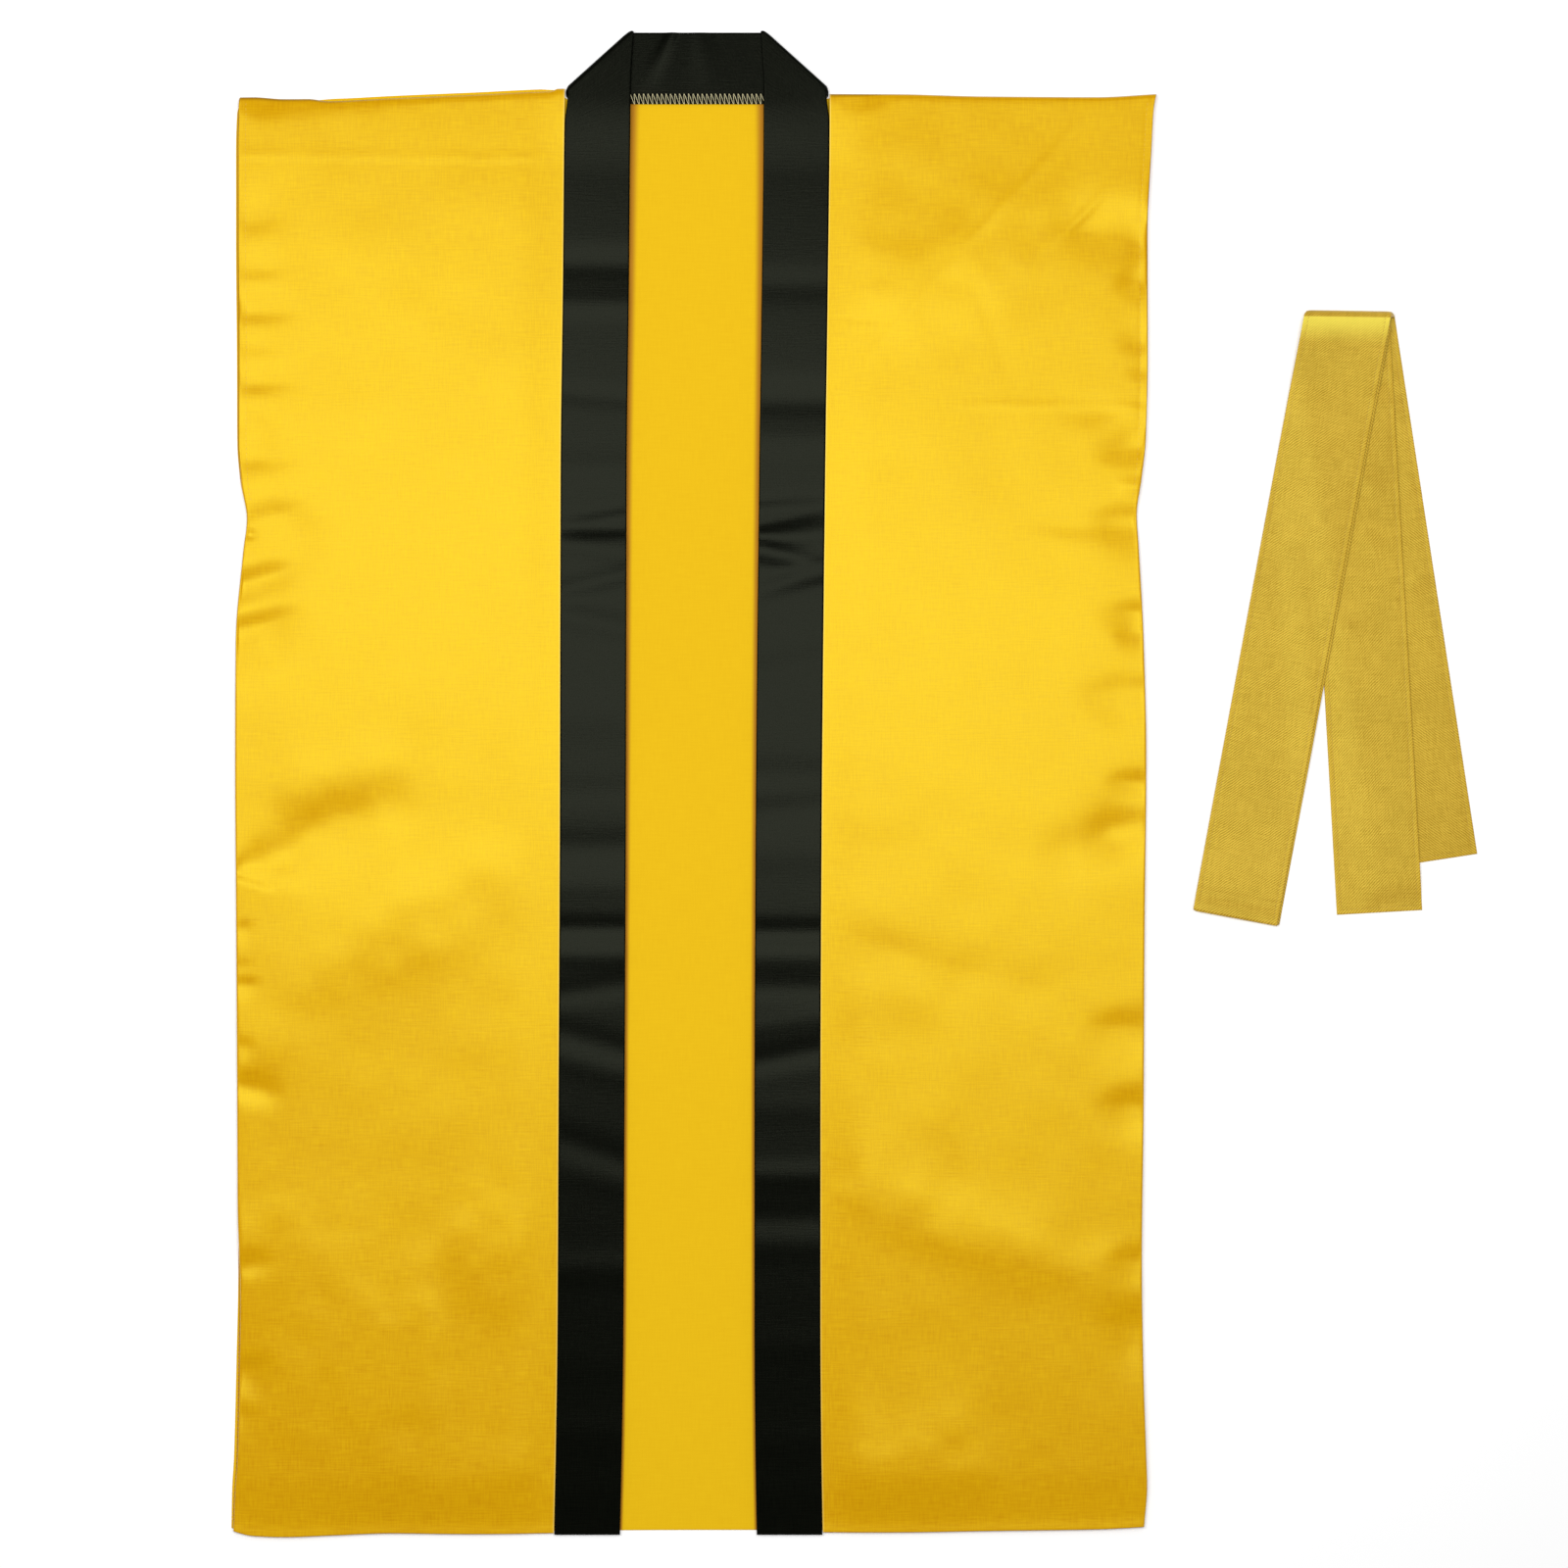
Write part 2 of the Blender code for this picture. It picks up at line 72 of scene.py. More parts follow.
class Side(Enum):
    """The wearer's side that a front or an upright band is on, by its sign along X."""

    RIGHT = -1.0
    LEFT = 1.0


class Hold(Enum):
    """How a cloth is held where it lies."""

    LAID = "laid"
    FOLDED = "folded"


class Slot(Enum):
    """Material slots of the record."""

    YELLOW = "satin_yellow"
    INSIDE = "satin_inside"
    BLACK = "satin_black"
    BELT = "belt_twill"


def smooth(t: float) -> float:
    """A step from 0 to 1 with a level start and end.

    Args:
        t: place along the step, 0 at its start and 1 at its end.

    Returns:
        0 before the step, 1 after it.
    """
    t = min(max(t, 0.0), 1.0)
    return t * t * (3.0 - 2.0 * t)


def bell(distance: float, width: float) -> float:
    """A soft hump.

    Args:
        distance: distance from its middle.
        width: distance at which it has sunk to about a third.

    Returns:
        1 at the middle, fading to 0.
    """
    return math.exp(-((distance / width) ** 2))


def roll(distance: float, radius: float) -> float:
    """Height of a quarter-round edge.

    Args:
        distance: distance in from the edge.
        radius: reach of the rounding.

    Returns:
        0 at the edge, 1 past the rounding.
    """
    t = min(max(distance / radius, 0.0), 1.0)
    return math.sqrt(1.0 - (1.0 - t) ** 2)


def softly_above(value: float, floor: float, ease: float) -> float:
    """The value, turned softly so that it never sinks under a floor."""
    return floor + ease * math.log1p(math.exp(min((value - floor) / ease, LARGEST_EXPONENT)))


def softly_below(value: float, cap: float, ease: float) -> float:
    """The value, turned softly so that it never rises over a cap."""
    return -softly_above(-value, -cap, ease)


def stations(length: float, spacing: float, start: Sequence[float] = (),
             end: Sequence[float] = ()) -> list[float]:
    """Places along a length, with finer ones near its ends.

    Args:
        length: the length.
        spacing: about how far apart the even places are.
        start: distances from the start that are wanted too.
        end: distances from the end that are wanted too.

    Returns:
        The places in order, from 0 to the length.
    """
    first = max(start, default=0.0)
    last = length - max(end, default=0.0)
    count = max(1, round((last - first) / spacing))
    even = [first + (last - first) * n / count for n in range(count + 1)]
    return sorted({round(p, 6) for p in [0.0, length, *start, *(length - e for e in end), *even]})


def paces(start: float, end: float, step: float) -> Iterable[float]:
    """Places from a start up to an end.

    Args:
        start: the first place.
        end: where they stop.
        step: how far apart they are.

    Yields:
        Each place.
    """
    while start < end:
        yield start
        start += step


def spread(start: float, end: float, places: Sequence[float]) -> list[float]:
    """Places scaled to run from a start to an end."""
    return [start + (end - start) * place / places[-1] for place in places]


@dataclass(frozen=True)
class Course:
    """A measure that runs smoothly through a few stations."""

    stops: tuple[Point, ...]

    def at(self, place: float) -> float:
        """Reads the course.

        Args:
            place: where along the course.

        Returns:
            The measure there, level beyond both ends.
        """
        stops = self.stops
        if place <= stops[0][0]:
            return stops[0][1]
        if place >= stops[-1][0]:
            return stops[-1][1]
        i = bisect_right(stops, (place, math.inf)) - 1
        span = stops[i + 1][0] - stops[i][0]
        rise = self._slope(i)
        before = self._slope(i - 1) if i > 0 else rise
        after = self._slope(i + 1) if i + 2 < len(stops) else rise
        start = 0.0 if before * rise <= 0 else 2.0 * before * rise / (before + rise)
        end = 0.0 if after * rise <= 0 else 2.0 * after * rise / (after + rise)
        t = (place - stops[i][0]) / span
        level = stops[i][1] * (1 - t) ** 2 * (1 + 2 * t) + stops[i + 1][1] * t * t * (3 - 2 * t)
        return level + span * (start * t * (1 - t) ** 2 - end * t * t * (1 - t))

    def _slope(self, i: int) -> float:
        """Slope of the straight line from stop i to the next."""
        (x0, y0), (x1, y1) = self.stops[i], self.stops[i + 1]
        return (y1 - y0) / (x1 - x0)


class Bend(NamedTuple):
    """A station of a crease: its place, the reach of its flanks and its height."""

    x: float
    down: float
    reach: float
    height: float


@dataclass(frozen=True)
class Crease:
    """A soft ridge (height above 0) or trough (below 0) that runs smoothly through its bends.

    The flank towards the hem reaches a number of times as far as the other one. Past an end that has a height
    the crease runs on, so that it can leave the cloth over an edge.
    """

    bends: tuple[Bend, ...]
    hemward: float = 1.0

    @cached_property
    def heading(self) -> Point:
        """Where the straight line from the first bend to the last heads.

        Returns:
            Its direction, of length 1.
        """
        run_x, run_down = self.bends[-1].x - self.bends[0].x, self.bends[-1].down - self.bends[0].down
        length = math.hypot(run_x, run_down)
        return run_x / length, run_down / length

    def unrolled(self, x: float, down: float) -> Point:
        """Turns a place to the crease's own line.

        Args:
            x: place out from the centre line.
            down: place down from the shoulder line.

        Returns:
            How far along the line it lies, and how far hemward of it.
        """
        ahead_x, ahead_down = self.heading
        off_x, off_down = x - self.bends[0].x, down - self.bends[0].down
        hemward = off_down * ahead_x - off_x * ahead_down
        return off_x * ahead_x + off_down * ahead_down, math.copysign(1.0, ahead_x) * hemward

    @cached_property
    def centre(self) -> Course:
        """How far hemward of the line the crease runs, by the place along it."""
        return Course(tuple(self.unrolled(bend.x, bend.down) for bend in self.bends))

    @cached_property
    def touched(self) -> tuple[float, float, float, float]:
        """The part of the cloth that the crease touches.

        Returns:
            The least and most place along the line, then the least and most hemward of it.
        """
        far = FADED * max(1.0, self.hemward) * max(bend.reach for bend in self.bends)
        across = [stop[1] for stop in self.centre.stops]
        first = -math.inf if self.bends[0].height else 0.0
        last = math.inf if self.bends[-1].height else self.centre.stops[-1][0]
        return first, last, min(across) - far, max(across) + far

    def rise(self, x: float, down: float) -> float:
        """Height that the crease adds.

        Args:
            x: place out from the centre line.
            down: place down from the shoulder line.

        Returns:
            The added height, in millimetres.
        """
        along, across = self.unrolled(x, down)
        first, last, near, far = self.touched
        if not (first < along < last and near < across < far):
            return 0.0
        stops = self.centre.stops
        i = min(max(bisect_right(stops, (along, math.inf)) - 1, 0), len(stops) - 2)
        start, end = self.bends[i], self.bends[i + 1]
        t = smooth((along - stops[i][0]) / (stops[i + 1][0] - stops[i][0]))
        off = (across - self.centre.at(along)) / (start.reach + (end.reach - start.reach) * t)
        off /= 1.0 + (self.hemward - 1.0) * smooth(0.5 + off)
        return (start.height + (end.height - start.height) * t) * bell(off, 1.0)


def crease(*bends: tuple[float, float, float, float], hemward: float = 1.0) -> Crease:
    """A crease from rows of x, down, reach and height."""
    return Crease(tuple(Bend(*bend) for bend in bends), hemward)


def pucker(edge: float, down: float, length: float, thick: float, depth: float, lean: float = 0.0) -> Crease:
    """A short trough that runs in from a side edge.

    Args:
        edge: x of the edge.
        down: place down of the trough's shaded wall.
        length: about how far in it shows.
        thick: about how thick that wall is.
        depth: depth of the trough.
        lean: how far down its inner end lies.

    Returns:
        The trough, its steeper wall hemward near the shoulders and collarward below them.
    """
    inward = -math.copysign(1.0, edge)
    shoulders_end, bend, tip, taper = 250.0, 0.35, 1.4, 0.7
    reach, hemward, shift = (2.3, 0.6, -0.7) if down < shoulders_end else (1.3, 2.0, 0.75)
    down, reach = down + shift * thick, reach * thick
    return crease(
        (edge, down, reach, -depth),
        (edge + bend * length * inward, down + bend * lean, reach, -depth),
        (edge + tip * length * inward, down + tip * lean, taper * reach, 0.0), hemward=hemward,
    )


def puckers(edge: float, *rows: Sequence[float]) -> Iterable[Crease]:
    """Puckers at one side edge, from rows of what comes after the edge in pucker."""
    return (pucker(edge, *row) for row in rows)


@dataclass(frozen=True)
class Dent:
    """A ridge or trough across an upright band.

    It has its place and half length along the band, its height, its lean down towards the band's inner edge,
    and how much higher it is there.
    """

    down: float
    reach: float
    height: float
    lean: float = 0.0
    side: float = 0.0

    def rise(self, across: float, down: float) -> float:
        """Height that the dent adds.

        Args:
            across: place across the band, -1 to 1.
            down: place down from the shoulder line.

        Returns:
            The added height, in millimetres.
        """
        here = bell(down - self.down - self.lean * across, self.reach)
        return self.height * here * (1.0 + self.side * across)


@dataclass(frozen=True)
class Cloth:
    """A cloth's thickness, and how far in from its rim it is rounded."""

    thickness: float
    rim: float

    def half(self, inset: float) -> float:
        """Half the thickness at a distance in from the rim, where it is closed."""
        return self.thickness / 2.0 * roll(inset, self.rim)


SATIN = Cloth(thickness=0.45, rim=0.25)
DOUBLED_SATIN = Cloth(thickness=1.7, rim=0.85)
SERGED_SATIN = Cloth(thickness=0.9, rim=0.4)
BELT_SATIN = Cloth(thickness=0.7, rim=0.35)


class Place(NamedTuple):
    """A place of a cloth's middle.

    It holds the point, the same place on the flat cut, its distance from the cloth's edge and from the band
    beside it (on the belt, from its top fold), and the distance that the edge's painted shade goes by where
    that is another one, in millimetres. The finishes paint shade and highlights by these distances.
    """

    point: Vector
    cut: Point
    inset: float
    beside: float = FAR_OFF
    tint: float | None = None


@dataclass
class Shell:
    """A closed cloth shell through rows of places."""

    name: str
    cloth: Cloth
    rows: list[list[Place]] = field(default_factory=list)

    def add_row(self, places: Iterable[Place]) -> None:
        """Adds a row of the cloth."""
        self.rows.append(list(places))

    def normal(self, i: int, j: int) -> Vector:
        """Finds which way is square to the cloth.

        Args:
            i: the row.
            j: the column.

        Returns:
            The direction, of length 1.
        """
        rows = self.rows
        along = rows[min(i + 1, len(rows) - 1)][j].point - rows[max(i - 1, 0)][j].point
        across = rows[i][min(j + 1, len(rows[i]) - 1)].point - rows[i][max(j - 1, 0)].point
        return across.cross(along).normalized()

    def build(self, finish: "Finish") -> Piece:
        """Makes the closed mesh.

        Args:
            finish: the cloth's finish.

        Returns:
            The piece, riding on the coat's body.
        """
        rows, columns, weld = len(self.rows), len(self.rows[0]), 1e-7
        bm = bmesh.new()
        uv = bm.loops.layers.uv.new("cut")
        # The edge and band attributes carry the distances by which the finishes paint shade along rims and
        # beside the bands, and highlights along the band seam and the belt's top fold.
        edge = bm.verts.layers.float.new("edge")
        band = bm.verts.layers.float.new("band")
        for face_side in (1.0, -1.0):
            made = bmesh.ops.create_grid(bm, x_segments=columns - 1, y_segments=rows - 1, size=0.5)["verts"]
            made.sort(key=lambda v: (round((v.co.y + 0.5) * (rows - 1)), v.co.x))
            spots = {vert: divmod(n, columns) for n, vert in enumerate(made)}
            for face in {face for vert in made for face in vert.link_faces}:
                for loop in face.loops:
                    i, j = spots[loop.vert]
                    loop[uv].uv = Vector(self.rows[i][j].cut) * MM
            for vert, (i, j) in spots.items():
                place = self.rows[i][j]
                rim = i in (0, rows - 1) or j in (0, columns - 1)
                half = 0.0 if rim else self.cloth.half(place.inset)
                vert.co = (place.point + self.normal(i, j) * (half * face_side)) * MM
                vert[edge] = (place.inset if place.tint is None else place.tint) * MM
                vert[band] = place.beside * MM
        bmesh.ops.remove_doubles(bm, verts=bm.verts, dist=weld)
        bmesh.ops.recalc_face_normals(bm, faces=bm.faces)
        return dressed(self.name, bm, finish)


def placed(name: str, data: bpy.types.ID) -> Piece:
    """Puts a new object into the scene.

    Args:
        name: the object's name.
        data: what it holds.

    Returns:
        The object.
    """
    holder = bpy.data.objects.new(name, data)
    bpy.context.scene.collection.objects.link(holder)
    return holder


def solid(name: str, bm: bmesh.types.BMesh, material: bpy.types.Material) -> Piece:
    """Turns a bmesh into a new object in the scene.

    Args:
        name: the object's name.
        bm: the mesh, which is freed.
        material: its material.

    Returns:
        The object.
    """
    mesh = bpy.data.meshes.new(name)
    bm.to_mesh(mesh)
    bm.free()
    mesh.materials.append(material)
    return placed(name, mesh)


def dressed(name: str, bm: bmesh.types.BMesh, finish: "Finish | Thread") -> Piece:
    """Turns a bmesh into a finished piece that rides on the coat's body.

    Args:
        name: the piece's name.
        bm: the mesh, which is freed.
        finish: its finish.

    Returns:
        The piece.
    """
    piece = solid(name, bm, finish.material)
    piece.data.shade_smooth()
    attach(piece, "root")
    return piece


@dataclass(frozen=True)
class CoatPlan:
    """The coat's outline, as laid out in the photograph."""

    centre_x: float = -101.6
    shoulder_y: float = 434.7
    length: float = 914.0
    band_width: float = 41.5
    band_hem: float = 910.0
    neck_middle: float = -19.0
    allowance_top: float = -0.6
    back_neck: float = 2.1
    neck_half: float = 88.0
    armhole: float = 268.0
    body: float = 1.3
    sides: dict[Side, Course] = field(default_factory=lambda: {
        Side.RIGHT: Course((
            (0, 286.6), (9, 288.8), (32, 289.5), (88, 289.5), (165, 288.9), (218, 288.7), (245, 286.6),
            (268, 282.2), (290, 284.6), (348, 289.3), (423, 289.6), (535, 288.9), (646, 288.3), (745, 288.0),
            (807, 289.2), (869, 290.8), (888, 291.9), (914, 292.4),
        )),
        Side.LEFT: Course((
            (0, 292.6), (9, 291.2), (32, 290.0), (88, 287.4), (165, 287.6), (218, 286.4), (245, 283.6),
            (268, 280.3), (290, 281.6), (348, 284.6), (423, 286.3), (535, 285.2), (646, 284.6), (745, 283.5),
            (807, 284.3), (869, 286.3), (888, 286.9), (914, 285.0),
        )),
    })
    peeks: dict[Side, Course] = field(default_factory=lambda: {
        Side.RIGHT: Course((
            (0, 0.0), (14, 2.1), (120, 2.2), (225, 1.6), (268, 0.0), (700, 0.0), (770, 2.0), (860, 2.6),
            (914, 1.6),
        )),
        Side.LEFT: Course(((0, 0.0), (14, 0.4), (120, 0.8), (225, 0.5), (268, 0.0))),
    })
    bands: dict[Side, Course] = field(default_factory=lambda: {
        Side.RIGHT: Course((
            (-19, 58.4), (8, 60.3), (125, 61.5), (240, 62.9), (460, 63.4), (650, 64.3), (780, 64.9),
            (860, 66.0), (914, 67.2),
        )),
        Side.LEFT: Course((
            (-19, 63.3), (8, 65.2), (125, 64.0), (240, 62.4), (460, 60.2), (650, 59.4), (780, 59.4),
            (860, 60.0), (914, 60.9),
        )),
    })
    shoulder: Course = Course((
        (-293, 1.4), (-278, 1.2), (-259, 2.4), (-228, 2.0), (-191, 0.2), (-141, -1.9), (-83, -4.2), (7, 0.0),
        (87, -0.8), (131, -0.6), (181, 0.7), (255, 1.2), (293, -0.8),
    ))
    # How narrow each front's painted shade under its shoulder roll is, by distance from the centre line; the
    # larger, the narrower.
    shoulder_shades: dict[Side, Course] = field(default_factory=lambda: {
        Side.RIGHT: Course(((82, 1.4), (190, 1.0), (240, 0.55), (290, 0.4))),
        Side.LEFT: Course(((84, 0.4), (112, 0.6), (140, 1.4), (290, 1.4))),
    })
    hem: Course = Course((
        (-293, 907.0), (-278, 910.6), (-259, 911.3), (-228, 910.2), (-191, 908.9), (-141, 909.4),
        (-83, 908.9), (7, 908.4), (87, 908.4), (131, 908.3), (181, 907.5), (255, 906.4), (293, 904.4),
    ))
    dents: dict[Side, tuple[Dent, ...]] = field(default_factory=lambda: {
        Side.RIGHT: (
            Dent(107, 9, -0.7), Dent(132, 8, 0.5), Dent(190, 6, -0.3, 2), Dent(236, 9, 0.3),
            Dent(272, 6, -1.2, -2, 0.6), Dent(286, 7, 0.4, 3), Dent(308, 6, -0.6, -5), Dent(333, 9, -0.6, 4),
            Dent(392, 14, 0.3), Dent(440, 8, -0.19), Dent(476, 11, -0.62), Dent(500, 9, 0.25),
            Dent(527, 7, -0.81), Dent(544, 7, 0.43), Dent(565, 8, -0.5, -3), Dent(598, 9, -0.42, 6),
            Dent(614, 9, 0.26, 5), Dent(666, 9, -0.38, 7), Dent(684, 9, 0.19, 5), Dent(742, 10, 0.43),
            Dent(800, 12, 0.12), Dent(846, 12, 0.37),
        ),
        Side.LEFT: (
            Dent(120, 9, -0.4), Dent(192, 10, -0.9), Dent(218, 8, 0.3), Dent(264, 7, -1.3, 3, 0.5),
            Dent(279, 6, 0.5, 2), Dent(292, 6, -0.9, -5, 0.7), Dent(307, 6, -0.8, 7, -0.6),
            Dent(362, 10, -0.4, 4), Dent(430, 10, -0.43), Dent(452, 11, -0.62, 2), Dent(480, 10, 0.19),
            Dent(529, 7, -0.87), Dent(545, 7, 0.37), Dent(564, 8, -0.5), Dent(586, 7, 0.25, 3),
            Dent(607, 8, -0.62, 4), Dent(640, 9, 0.19), Dent(683, 8, 0.5), Dent(709, 9, -0.42),
            Dent(727, 9, 0.28), Dent(790, 10, 0.19), Dent(850, 10, 0.22),
        ),
    })

    def spot(self, x: float, down: float, height: float) -> Vector:
        """A place on the coat as a point of the frame, in millimetres."""
        return Vector((self.centre_x + x, self.shoulder_y - down, height))

    def side_edge(self, side: Side, down: float) -> float:
        """Distance of a front's side edge from the centre line."""
        return self.sides[side].at(down) - self.peeks[side].at(down)

    def seam(self, side: Side, down: float) -> float:
        """Distance of a band's outer edge from the centre line."""
        return self.bands[side].at(down) + self.band_width / 2.0

    def opening(self, side: Side, down: float) -> float:
        """Distance of a band's inner edge from the centre line."""
        return self.bands[side].at(down) - self.band_width / 2.0

    def bared(self, x: float) -> float:
        """1 where the back's shoulder edge shows past the wearer's right front, 0 elsewhere."""
        first, last, ease, neck_ease = -244.0, -86.0, 14.0, 4.0
        return smooth((x - first) / ease) * smooth((last - x) / neck_ease)

    def allowance_underside(self, down: float) -> float:
        """Height of the neck allowance's underside: over the band's edge, then down onto the back."""
        over_band, over_back, step = 2.3, 1.3, 2.5
        return over_band + (over_back - over_band) * smooth((down - self.back_neck) / step)

    def band_underside(self, down: float, dented: float = 0.0) -> float:
        """Height of an upright band's underside.

        Args:
            down: place down from the shoulder line.
            dented: height that its dents add there.

        Returns:
            The height over the floor, in millimetres.
        """
        over_allowance = self.allowance_underside(self.allowance_top) + self.body
        settle, loft, trough_ease, hem_roll, hem_loft = 50.0, 0.9, 0.1, 30.0, 0.3
        lying = softly_above(loft + dented, 0.0, trough_ease)
        lying *= hem_loft + (1.0 - hem_loft) * smooth((self.band_hem - down) / hem_roll)
        lying += self.body
        return over_allowance + (lying - over_allowance) * smooth((down - self.back_neck) / settle)


PLAN = CoatPlan()


class Bench:
    """Short-hand for adding shader nodes to a tree and wiring them."""

    def __init__(self, tree: bpy.types.NodeTree) -> None:
        """Takes the tree to work on."""
        self.tree = tree

    def feed(self, node: bpy.types.Node, inputs: dict) -> bpy.types.Node:
        """Feeds a node's sockets.

        Args:
            node: the node.
            inputs: socket names or numbers with a plain value, or a socket to wire there.

        Returns:
            The node.
        """
        for key, value in inputs.items():
            if isinstance(value, Socket):
                self.tree.links.new(value, node.inputs[key])
            else:
                node.inputs[key].default_value = value
        return node

    def add(self, kind: str, inputs: dict | None = None, **settings: object) -> bpy.types.Node:
        """Adds a node.

        Args:
            kind: the node's type.
            inputs: what feeds its sockets.
            settings: the node's own properties.

        Returns:
            The node.
        """
        node = self.tree.nodes.new(kind)
        for key, value in settings.items():
            setattr(node, key, value)
        return self.feed(node, inputs or {})

    def math(self, operation: str, *values: object) -> Socket:
        """The result of a Math node on plain values or sockets."""
        return self.add("ShaderNodeMath", dict(enumerate(values)), operation=operation).outputs[0]

    def swing(self, value: Socket, strength: object) -> Socket:
        """A value about 0.5 turned into one about 0, as strong as wanted."""
        return self.math("MULTIPLY", self.math("SUBTRACT", value, 0.5), strength)

    def stretch(self, vector: Socket, scale: tuple[float, float, float]) -> Socket:
        """A vector with each axis scaled."""
        return self.add("ShaderNodeVectorMath", {0: vector, 1: scale}, operation="MULTIPLY").outputs[0]

    def noise(self, vector: Socket, scale: object = 1.0, detail: float = 2.0,
              roughness: float = 0.5) -> Socket:
        """A noise value, about 0.5."""
        inputs = {"Vector": vector, "Scale": scale, "Detail": detail, "Roughness": roughness}
        return self.add("ShaderNodeTexNoise", inputs).outputs["Fac"]

    def tint(self, mask: Socket, first: object, second: object) -> Socket:
        """The mix of two colours by a mask."""
        return self.add("ShaderNodeMix", {0: mask, 6: first, 7: second}, data_type="RGBA").outputs[2]

    def bump(self, height: Socket, strength: float, relief: float) -> Socket:
        """The normal of a surface with a relief in metres."""
        inputs = {"Height": height, "Strength": strength, "Distance": relief}
        return self.add("ShaderNodeBump", inputs).outputs["Normal"]

    def group(self, tree: bpy.types.NodeTree, inputs: dict) -> bpy.types.NodeOutputs:
        """The values of a group that is placed here."""
        return self.add("ShaderNodeGroup", inputs, node_tree=tree).outputs

    def close(self, values: dict) -> bpy.types.NodeTree:
        """Sends values out of a group, and hands it on."""
        self.add("NodeGroupOutput", values)
        return self.tree


def open_group(name: str, inputs: dict[str, float | None],
               outputs: Sequence[str]) -> tuple[Bench, bpy.types.NodeOutputs]:
    """Starts a shader node group.

    Args:
        name: the group's name.
        inputs: socket names with a number, or None for a vector.
        outputs: names of its values.

    Returns:
        A bench to fill the group with, and what comes into it.
    """
    group = bpy.data.node_groups.new(name, "ShaderNodeTree")
    for key, value in inputs.items():
        kind = "NodeSocketVector" if value is None else "NodeSocketFloat"
        socket = group.interface.new_socket(key, in_out="INPUT", socket_type=kind)
        if value is not None:
            socket.default_value = value
    for key in outputs:
        group.interface.new_socket(key, in_out="OUTPUT", socket_type="NodeSocketFloat")
    bench = Bench(group)
    return bench, bench.add("NodeGroupInput").outputs


@cache
def satin_ground() -> bpy.types.NodeTree:
    """The group for the uneven threads of satin.

    Returns:
        A group that takes the cut's place in metres and gives a shade about 0.5 and a height.
    """
    warp_scale, weft_scale, thread_scale = (1250.0, 85.0, 1.0), (70.0, 1150.0, 1.0), (2600.0, 2600.0, 1.0)
    bench, entry = open_group("satin_ground", {"Vector": None, "Slub": 1.0}, ("Shade", "Height"))
    warp, weft = (bench.noise(bench.stretch(entry["Vector"], scale)) for scale in (warp_scale, weft_scale))
    thread = bench.noise(bench.stretch(entry["Vector"], thread_scale), detail=0.0)
    both = bench.math("MULTIPLY", bench.math("ADD", warp, weft), 0.5)
    shade = bench.math("ADD", bench.swing(both, entry["Slub"]), 0.5)
    height = bench.math("ADD", bench.math("MULTIPLY", shade, 0.6), bench.math("MULTIPLY", thread, 0.4))
    return bench.close({"Shade": shade, "Height": height})


@cache
def broad_tone() -> bpy.types.NodeTree:
    """The group for the slow drift of a dye's depth over a cloth.

    Returns:
        A group that takes the cut's place in metres and gives a tone about 0.5.
    """
    bench, entry = open_group("broad_tone", {"Vector": None, "Patches": 9.0}, ("Tone",))
    return bench.close({"Tone": bench.noise(entry["Vector"], entry["Patches"], detail=3.0, roughness=0.55)})


@cache
def twill_ribs() -> bpy.types.NodeTree:
    """The group for the slanting ribs of twill.

    Returns:
        A group that takes the cut's place in metres and gives the ribs' height, 0 to 1.
    """
    wander_scale = (220.0, 90.0, 1.0)
    bench, entry = open_group("twill_ribs", {"Vector": None, "Pitch": 0.0015}, ("Rib",))
    parts = bench.add("ShaderNodeSeparateXYZ", {0: entry["Vector"]}).outputs
    run = bench.math("DIVIDE", bench.math("ADD", parts["X"], parts["Y"]), entry["Pitch"])
    wander = bench.noise(bench.stretch(entry["Vector"], wander_scale))
    phase = bench.math("MULTIPLY", bench.math("ADD", run, wander), math.tau)
    return bench.close({"Rib": bench.math("MULTIPLY_ADD", bench.math("SINE", phase), 0.5, 0.5)})


@cache
def edge_mask() -> bpy.types.NodeTree:
    """The group for a band along a cloth's edges, which the finishes use to paint shade and highlights.

    Returns:
        A group that takes a distance and a reach in metres and gives a mask, 1 at the edge.
    """
    bench, entry = open_group("edge_mask", {"Distance": 1.0, "Reach": 0.003}, ("Mask",))
    inputs = {"Value": entry["Distance"], "From Max": entry["Reach"], "To Min": 1.0, "To Max": 0.0}
    ramp = bench.add("ShaderNodeMapRange", inputs, interpolation_type="SMOOTHSTEP")
    return bench.close({"Mask": ramp.outputs["Result"]})


def blank_material(name: str) -> tuple[bpy.types.Material, Bench, bpy.types.Node]:
    """Starts a material.

    Args:
        name: the material's name.

    Returns:
        The material, a bench for its tree and its Principled BSDF.
    """
    material = bpy.data.materials.new(name)
    material.use_nodes = True
    return material, Bench(material.node_tree), material.node_tree.nodes["Principled BSDF"]


@dataclass(frozen=True)
class Fade:
    """A tint along an edge: its colour, how far in it reaches in metres, and its strength at the edge. The
    finishes use it for painted shade along rims and beside the bands, and for painted highlights along the
    band seam and the belt's top fold.
    """

    colour: Colour
    reach: float
    strength: float


@dataclass(frozen=True)
class Sheen:
    """How a cloth shines: its roughness, how far that drifts, and its tinted highlight."""

    roughness: float
    drift: float
    specular: float
    ior: float = 1.5
    tint: Colour = (1.0, 1.0, 1.0, 1.0)


